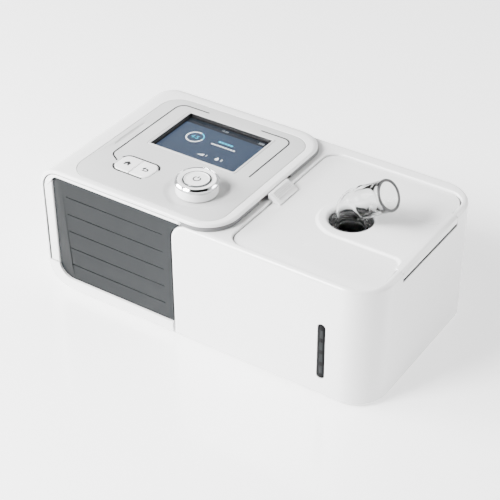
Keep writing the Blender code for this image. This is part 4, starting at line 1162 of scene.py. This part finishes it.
def buildHousing():
    top, foot, wall = unit["bodyTop"], unit["foot"], unit["wall"]
    levels = stops(foot, top, (top, unit["shoulder"]), (top, unit["housingEdge"]), (foot, -1.6))
    shell = loft("humidifier_shell", [housingRing(z) for z in levels])
    ceiling = top - wall
    roomLevels = stops(foot + wall, ceiling, (ceiling, unit["shoulder"] - wall), steps=6)
    room = loft("housingRoom", [housingRing(z, inset=wall) for z in roomLevels])
    wrapLow, wrapHigh = wrapSpan()
    notch = boxCutter("hingeNotch", (255, wrapLow - 0.4, 87.4), (280, wrapHigh + 0.4, 110))
    ductSpot = (unit["split"], partMiddle("duct_seal")[1], partBox("outlet_duct")[0].z + 10)
    duct = disc("ductHole", ductSpot, 10.6, -8, 8, tip="Y")
    low, high = partBox("level_window")
    hole = widerRect((low.x, low.z), (high.x, high.z), 0.3, levelShape["corner"], 8)
    carve(shell, lidMouth(), room, notch, wellCutter(well["left"], well["right"], 84), duct,
          slab("windowHole", hole, -10, 10, "Y"), seatCutter("foot_front_right"),
          seatCutter("foot_back_right"))
    roundEdges(shell, 0.2)
    deliver(shell, "main_unit", "shell", "humidifier_housing")
    # painted shade: a black strip lies in the slit under the hinge, which is dark with shade
    liner = boxCutter("hinge_slit_shade", (265.8, wrapLow + 0.2, 87.3),
                      (unit["width"] - 0.4, wrapHigh - 0.2, 88.3))
    deliver(liner, "main_unit", "print")


# the lid is a low plate with a raised tongue from the outlet to the hinge, which it wraps
lidShape = {"plateTop": 94.2, "plateThick": 2.0, "tongueRadius": 21.5, "slope": 3.0, "turn": 8.5,
            "wrapLow": 89.0, "wrapLeft": 263.4, "wrapRoll": 3.2, "hinge": 265.1,
            "bossRoll": 2.6, "hole": 15.3}


def tongueOutline(out):
    # round the outlet, straight to the right, then widening to the hinge
    x, y, _ = partMiddle("outlet_collar")
    front, back = wrapSpan()
    radius, turn, hingeX = lidShape["tongueRadius"], lidShape["turn"], lidShape["hinge"]
    points = arcPoints((x, y), radius + out, 90, 270, 40)
    points += arcPoints((hingeX - turn, y - radius - turn), turn - out, 90, 0, 12)
    points += [(hingeX - out * 0.25, front), (266.8, front), (266.8, back), (hingeX - out * 0.25, back)]
    points += arcPoints((hingeX - turn, y + radius + turn), turn - out, 0, -90, 12)
    return points


def buildLid():
    low, high = lidEdges()
    s = lidShape
    top, plate = unit["bodyTop"], s["plateTop"]
    lid = softSlab("lid_cover", (*low, plate - s["plateThick"]), (*high, plate), lidSeam["radii"],
                   edge=0.5, steps=12)
    rings = [lift(tongueOutline(s["slope"]), plate - 1.0)]
    for step in range(11):
        share = step / 10
        rise = (1 - math.cos(math.pi * share)) / 2
        height = plate - 0.02 + (top - plate + 0.02) * rise
        rings.append(lift(tongueOutline(s["slope"] * (1 - share)), height))
    tongue = loft("lidTongue", rings)
    front, back = wrapSpan()
    right = unit["width"]
    r = s["wrapRoll"]
    section = [(s["wrapLeft"], s["wrapLow"]), (right - 1.2, s["wrapLow"]), (right, s["wrapLow"] + 1.2)]
    section += arcPoints((right - r, top - r), r, 0, 90, 8) + [(s["wrapLeft"], top)]
    wrap = slab("lidWrap", section, front, back, "Y")
    roundEdges(wrap, 0.35, 3)
    weld(lid, tongue, wrap)
    x, y, _ = partMiddle("outlet_collar")
    roll = s["bossRoll"]
    profile = [(0, 80), (s["hole"], 80)]
    for step in range(9):
        angle = math.pi / 2 * step / 8
        profile.append((s["hole"] + roll * (1 - math.cos(angle)), top - roll + roll * math.sin(angle)))
    profile += [(s["hole"] + roll, top + 6), (0, top + 6)]
    hole = turned("outletHole", profile, (x, y, 0), 96)
    inside = boxCutter("wrapRoom", (260, front + 2.0, 80), (right - 2.4, back - 2.0, plate - 2.4))
    slot = boxCutter("latchSlot", (157.6, 66.1, 90), (162.6, 74.9, 98))
    carve(lid, hole, inside, slot)
    deliver(lid, "lid", "shell", "lid", degrees=28)


def buildLidInside():
    x, y, _ = partMiddle("outlet_collar")
    liner = softSlab("lid_liner_plate", *partBox("lid_liner"), (8, 16, 16, 8), edge=0.3, floorEdge=0.8)
    carve(liner, disc("linerHole", (x, y, 0), lidShape["hole"], 80, 110, 72),
          boxCutter("linerNotch", (160, 65.5, 88), (163.4, 75.5, 95)))
    deliver(liner, "lid", "shell", "lid_liner")
    low, high = partBox("lid_seal")
    # a lip seal: a fat bead with a thinner foot
    rings = [lift(widerRect(low, high, out, (8, 18, 18, 8), 10), z) for out, z in
             ((0.4, low.z), (0, low.z + 0.6), (0, high.z), (-3.0, high.z), (-3.0, low.z + 0.9),
              (-1.9, low.z + 0.5), (-1.2, low.z))]
    deliver(loft("lid_lip_seal", rings, loop=True), "lid", "silicone", "lid_seal")
    collar = turned("outlet_collar_ring", rolled([
        (14.1, 93.4), (15.0, 93.4), (15.0, 88.2), (17.5, 88.2), (17.5, 86.2), (12.5, 86.2), (12.5, 91.2),
        (14.1, 91.2)], 0.25, 3), (x, y, 0), 96)
    deliver(collar, "lid", "black", "outlet_collar")
    deliver(barRing("outlet_collar_lugs", 16, 14.5, (0.8, 1.4, 0.5), (x, y, 93.55), "black"), "lid", "black")


# the thumb slide's ridges: the first one's place, the step to the next and the slope they lie on
latchShape = {"ridges": 5, "step": (1.08, 0, -0.628), "width": 0.55, "first": (155.4, 100.1), "rise": 3.2,
              "run": 5.5}


def buildLatch():
    s = latchShape
    low, high = partBox("latch")
    under, over = unit["bodyTop"] + unit["gap"], lidShape["plateTop"] + unit["gap"]
    wedge = [(low.x, under), (low.x, high.z - 0.3), (154.5, high.z), (160.0, 97.4), (162.4, 95.8),
             (high.x, 95.4), (high.x, over), (156.6, over), (156.6, under)]
    latch = slab("latch_thumb_slide", rolled(wedge, 0.35, 3), low.y, high.y, "Y")
    weld(latch, boxCutter("latchStem", (158.0, 66.5, 90.2), (160.0, 74.5, 95.0)))
    roundEdges(latch, 0.35, 3, 60)
    # ridges for the thumb run across the slope
    slope = math.atan2(s["rise"], s["run"])
    first = (s["first"][0], (low.y + high.y) / 2, s["first"][1])
    grooves = barRow("latchGrooves", s["ridges"], first, s["step"],
                     (s["width"], high.y - low.y - 4.0, 1.5), "shell", (0, slope, 0))
    carve(latch, grooves)
    deliver(latch, "latch", "shell", "latch")


# the tube's radii, the arm's tilt, where its line meets the leg's, and how far out its bead and mouth are
elbowShape = {"outer": 11.0, "bore": 9.3, "tilt": 33.0, "apex": 106.3, "bend": 12.0, "reach": 32.1,
              "bead": 11.5, "collar": 13.7, "rim": 0.3, "sides": 64}


def buildElbow():
    e = elbowShape
    x, y, _ = partMiddle("outlet_collar")
    low = partBox("elbow")[0].z
    tilt = math.radians(e["tilt"])
    swing = math.pi / 2 - tilt
    bendLow = e["apex"] - e["bend"] * math.tan(swing / 2)

    def ring(kind, amount, radius):
        # round the tube: up the leg, round the bend, or out along the tilted arm
        if kind == "leg":
            centre, angle = Vector((x, y, amount)), 0.0
        elif kind == "bend":
            angle = swing * amount
            centre = Vector((x + e["bend"] * (1 - math.cos(angle)), y, bendLow + e["bend"] * math.sin(angle)))
        else:
            angle = swing
            centre = Vector((x + amount * math.cos(tilt), y, e["apex"] + amount * math.sin(tilt)))
        across = Vector((math.cos(angle), 0, -math.sin(angle)))
        turns = [2 * math.pi * side / e["sides"] for side in range(e["sides"])]
        return [centre + radius * (math.cos(turn) * across + math.sin(turn) * Vector((0, 1, 0)))
                for turn in turns]

    outer, bore, collar, bead, mouth = e["outer"], e["bore"], e["collar"], e["bead"], e["reach"]
    path = [("leg", low, outer - 0.6), ("leg", low + 0.6, outer - 0.1), ("leg", 91.3, outer),
            ("leg", 91.5, collar - 0.3), ("leg", 91.7, collar), ("leg", 92.7, collar),
            ("leg", 92.9, collar - 0.3), ("leg", 93.1, outer)]
    path += [("bend", step / 12, outer) for step in range(13)]
    path += [("arm", bead + along, outer + out) for along, out in
             ((-0.9, 0), (-0.6, 0.25), (0, 0.45), (0.6, 0.25), (0.9, 0))]
    path += [("arm", mouth + along, outer + out) for along, out in
             ((-1.4, -0.05), (-1.1, 0.1), (-0.3, 0.1), (0, -0.2))]
    path += [("arm", mouth, bore + 0.4), ("arm", mouth - 0.5, bore + 0.05), ("arm", bead, bore - 0.05)]
    path += [("bend", 1 - step / 12, bore) for step in range(13)]
    path += [("leg", 93.0, bore), ("leg", low + 0.4, bore), ("leg", low, bore + 0.4)]
    tube = loft("elbow_tube", [ring(*stop) for stop in path], loop=True)
    deliver(tube, "elbow", "clear", "elbow", degrees=40)
    # painted shade: a black ring round the mouth stands in for the dark look of the clear tube's end face
    rim = [ring("arm", mouth + out, radius) for out, radius in
           ((-0.4, 11.2), (e["rim"], 10.95), (e["rim"], 9.3), (-0.4, 9.2))]
    deliver(loft("elbow_mouth_shade_ring", rim, loop=True), "elbow", "print", slot="black_rubber")
    circle = arcPoints((11.8, 88.8), 0.45, 0, 330, 11)
    deliver(turned("elbow_ring_seal", circle, (x, y, 0), 72), "elbow", "rubber", "elbow_seal")


# the window's end radius, and the steps behind it: their number, first height, pitch and size
levelShape = {"corner": 2.75, "steps": 4, "first": 7.2, "pitch": 9.8, "height": 6.6, "share": 0.42}


def buildLevelWindow():
    s = levelShape
    low, high = partBox("level_window")
    front, back = (low.x, low.z), (high.x, high.z)
    lens = slab("level_lens", widerRect(front, back, 0, s["corner"], 10), low.y, high.y, "Y")
    roundEdges(lens, 0.4, 3)
    deliver(lens, "main_unit", "smoke", "level_window")
    # the measuring steps show faintly through the dark lens
    steps = barRow("level_steps", s["steps"], ((low.x + high.x) / 2 - 0.2, low.y, low.z + s["first"]),
                   (0, 0, s["pitch"]), ((high.x - low.x) * s["share"], 0.1, s["height"]), "levelSteps")
    deliver(steps, "main_unit", "levelSteps")
    rim = [lift(widerRect(front, back, out, s["corner"], 10), y, "Y") for out, y in
           ((0.28, 0.5), (0.28, 0.08), (0.6, 0.03), (0.9, 0.3), (0.9, 0.5))]
    deliver(loft("level_rim", rim, loop=True), "main_unit", "shell")


tankShape = {"radii": (8.0, 20.0, 20.0, 8.0), "wall": 2.0, "port": 8.0, "plateLedge": 3.5}


def buildTank():
    t = tankShape
    low, high = partBox("water_tank")
    wall = t["wall"]
    # outside from the foot up to the rim, then inside down to the floor
    rings = [lift(widerRect(low, high, out, t["radii"], 10), z) for out, z in
             ((-3.0, low.z), (-1.0, low.z + 0.4), (0, low.z + 2.5), (0, high.z - 1.6), (0, high.z),
              (-0.6, high.z), (-wall, high.z - 0.8), (-wall, low.z + 4.5), (-wall - 1.2, low.z + 2.4),
              (-wall - 3.0, low.z + 2.0))]
    tank = loft("water_tank_shell", rings)
    plateLow, plateHigh = partBox("tank_base_plate")
    x, y, _ = partMiddle("tank_base_plate")
    _, ductY, ductZ = partMiddle("duct_seal")
    port = disc("tankPort", (low.x, ductY, ductZ), t["port"], -8, 8, tip="Y")
    radius = (plateHigh.x - plateLow.x) / 2 - t["plateLedge"]
    carve(tank, disc("floorHole", (x, y, 0), radius, 0, 20, 96), port)
    deliver(tank, "main_unit", "clear", "water_tank", degrees=40)


# back and underside
louvres = {"count": 6, "margin": 5.0, "height": 2.4, "lean": -25.0}
inletShape = {"radius": 5.5, "bore": 3.1, "pin": 1.0}
footShape = {"hollow": 2.6, "lip": 0.3}
screwShape = {"shank": 1.3, "head": 1.1, "cross": (2.8, 0.55, 1.2)}


def buildFilterDoor():
    low, high = partBox("filter_door")
    door = softSlab("filter_door_louvres", (low.x, low.z, 0), (high.x, high.z, high.y - low.y), 0.8, edge=0.5)
    # stands the plate up, its soft edge to the back
    upright = Matrix(((1, 0, 0, 0), (0, 0, 1, 0), (0, 1, 0, 0), (0, 0, 0, 1)))
    door.data.transform(Matrix.Translation((0, low.y, 0)) @ upright)
    pitch = (high.z - low.z - 8) / louvres["count"]
    first = low.z + louvres["margin"] + louvres["height"] / 2
    cuts = barRow("louvreCuts", louvres["count"], ((low.x + high.x) / 2, low.y, first), (0, 0, pitch),
                  (high.x - low.x - 10, 12, louvres["height"]), "shell",
                  (math.radians(louvres["lean"]), 0, 0))
    carve(door, cuts)
    roundEdges(door, 0.2)
    deliver(door, "filter_door", "shell", "filter_door")


def buildInlet():
    x, _, z = partMiddle("dc_inlet")
    low, high = partBox("dc_inlet")
    length, radius, bore, pin = high.y - low.y, inletShape["radius"], inletShape["bore"], inletShape["pin"]
    profile = [(0, 0), (radius, 0), (radius, length), (bore, length), (bore, 2.0), (pin, 2.0),
               (pin, length - 2), (0, length - 1.6)]
    barrel = turned("power_inlet", rolled(profile, 0.2, 2, closed=False), (0, 0, 0), 48)
    barrel.data.transform(Matrix.Translation((x, low.y, z)) @ Matrix.Rotation(math.radians(-90), 4, "X"))
    deliver(barrel, "main_unit", "black", "dc_inlet")


def buildFeetAndScrews():
    for node in ("foot_front_left", "foot_back_left", "foot_front_right", "foot_back_right"):
        low, high = partBox(node)
        x, y, _ = partMiddle(node)
        r, hollow, lip = (high.x - low.x) / 2, footShape["hollow"], footShape["lip"]
        profile = [(0, low.z + 0.25), (hollow, low.z + 0.25), (hollow + lip, low.z), (r - 1.0, low.z),
                   (r - lip, low.z + lip), (r, low.z + 0.9), (r, high.z), (0, high.z)]
        deliver(turned(node + "_pad", profile, (x, y, 0), 64), "main_unit", "rubber", node)
    for node in [f"case_screw_{i}" for i in range(1, 5)]:
        low, high = partBox(node)
        x, y, _ = partMiddle(node)
        r, shank, neck = (high.x - low.x) / 2, screwShape["shank"], low.z + screwShape["head"]
        profile = [(0, low.z), (r * 0.75, low.z + 0.05), (r, low.z + 0.5), (r, neck), (shank, neck),
                   (shank, high.z), (0, high.z)]
        head = turned(node + "_head", rolled(profile, 0.15, 2, closed=False), (x, y, 0), 40)
        long, wide, deep = screwShape["cross"]
        carve(head, *[barRow(node + "_cross", 1, (x, y, low.z), (1, 0, 0), size, "steel")
                      for size in ((long, wide, deep), (wide, long, deep))])
        deliver(head, "main_unit", "steel", node)


# parts inside, which keep their own shape
insideFinishes = {
    "steel": ["encoder_shaft", "motor_can", "rotor_shaft", "heater_plate", "tank_base_plate", "hinge_pin"],
    "frame": ["encoder_body", "blower_base", "blower_cover"],
    "black": ["impeller"],
    "rubber": ["motor_damper"],
    "silicone": ["key_mat", "duct_seal", "heater_insulator"],
    "clear": ["outlet_duct"],
    "foam": ["silencer_foam"],
    "filter": ["inlet_filter"],
    "board": ["display_board", "main_board", "power_board"],
    "panel": ["level_scale"],
}


def dressInside():
    for finish, names in insideFinishes.items():
        for name in names:
            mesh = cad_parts[name].data
            mesh.materials.clear()
            mesh.materials.append(finishes[finish])


for stage, work in (("casing", buildTopCasing), ("base tray", buildBaseTray), ("bezel", buildFrontBezel),
                    ("front panel", buildFrontPanel), ("middle frame", buildMiddleFrame),
                    ("control panel", buildControlPanel), ("printed lines", buildPrintedLines),
                    ("keys", buildKeys), ("knob", buildKnob), ("screen", buildScreen),
                    ("picture", buildPicture), ("housing", buildHousing), ("lid", buildLid),
                    ("lid inside", buildLidInside), ("latch", buildLatch), ("elbow", buildElbow),
                    ("level window", buildLevelWindow), ("tank", buildTank), ("door", buildFilterDoor),
                    ("inlet", buildInlet), ("feet and screws", buildFeetAndScrews),
                    ("inside parts", dressInside)):
    work()
    print("made:", stage)


# room, light and camera
stage = {"half": 6.0, "tone": 0.88, "gloss": 0.10, "glow": 0.9}


def buildStage():
    mesh = bpy.data.meshes.new("floor")
    bm = bmesh.new()
    bmesh.ops.create_grid(bm, x_segments=1, y_segments=1, size=stage["half"])
    bm.to_mesh(mesh)
    bm.free()
    floor = newPiece("floor", mesh)
    finish, _, shader = startFinish("paleFloor", Roughness=stage["gloss"], Emission_Color=(1, 1, 1, 1),
                                       Emission_Strength=stage["glow"])
    shader.inputs["Base Color"].default_value = (stage["tone"], stage["tone"], stage["tone"], 1.0)
    mesh.materials.append(finish)


# each lamp: where it stands as seen from the unit, its distance, width and power
lighting = {"lamps": {"keyLamp": ((-0.36, -0.69, 0.66), 1.4, 0.55, 66.0),
                      "leftLamp": ((-0.90, -0.45, 0.36), 1.5, 0.9, 75.0),
                      "sideLamp": ((0.80, 0.62, 0.36), 1.6, 1.0, 26.0)},
            "sky": 0.95, "card": (0.50, -0.62, 0.62), "cardEdge": (0.60, 0.74), "cardTone": 0.02}


def areaLamp(name, towards, distance, size, power):
    lamp = bpy.data.lights.new(name, "AREA")
    lamp.shape = "DISK"
    lamp.size = size
    lamp.energy = power
    holder = bpy.data.objects.new(name, lamp)
    way = Vector(towards).normalized()
    holder.location = way * distance + Vector((0, 0, 0.05))
    holder.rotation_mode = "QUATERNION"
    holder.rotation_quaternion = way.to_track_quat("Z", "Y")
    bpy.context.scene.collection.objects.link(holder)


def buildLight():
    for name, values in lighting["lamps"].items():
        areaLamp(name, *values)
    world = bpy.data.worlds.new("studio")
    bpy.context.scene.world = world
    world.use_nodes = True
    tree = world.node_tree
    sky = tree.nodes["Background"]
    sky.inputs["Strength"].default_value = lighting["sky"]
    # white all round but for a dark card above the front right corner
    coordinates = tree.nodes.new("ShaderNodeTexCoord")
    towards = tree.nodes.new("ShaderNodeVectorMath")
    towards.operation = "DOT_PRODUCT"
    towards.inputs[1].default_value = Vector(lighting["card"]).normalized()
    ramp = tree.nodes.new("ShaderNodeValToRGB")
    tree.links.new(coordinates.outputs["Generated"], towards.inputs[0])
    tree.links.new(towards.outputs["Value"], ramp.inputs["Fac"])
    tree.links.new(ramp.outputs["Color"], sky.inputs["Color"])
    ends = ramp.color_ramp.elements
    for end, place, tone in zip(ends, lighting["cardEdge"], (1.0, lighting["cardTone"])):
        end.position, end.color = place, (tone, tone, tone, 1)


# where the camera stands (metres), and its turn round the unit, tilt down and roll (degrees)
view = {"lens": 102.46, "sensor": 36.0, "place": (0.4542, -0.69145, 0.6331), "turn": 33.687,
        "tilt": 35.744, "roll": -0.304}


def buildCamera():
    lens = bpy.data.cameras.new("camera")
    lens.sensor_width = view["sensor"]
    lens.lens = view["lens"]
    holder = bpy.data.objects.new("camera", lens)
    yaw, pitch, roll = (math.radians(view[key]) for key in ("turn", "tilt", "roll"))
    back = Vector((math.sin(yaw) * math.cos(pitch), -math.cos(yaw) * math.cos(pitch), math.sin(pitch)))
    level = (-back).to_track_quat("-Z", "Y").to_matrix()
    holder.rotation_mode = "QUATERNION"
    holder.rotation_quaternion = (Matrix.Rotation(roll, 3, back) @ level).to_quaternion()
    holder.location = view["place"]
    bpy.context.scene.collection.objects.link(holder)
    bpy.context.scene.camera = holder


buildStage()
buildLight()
buildCamera()
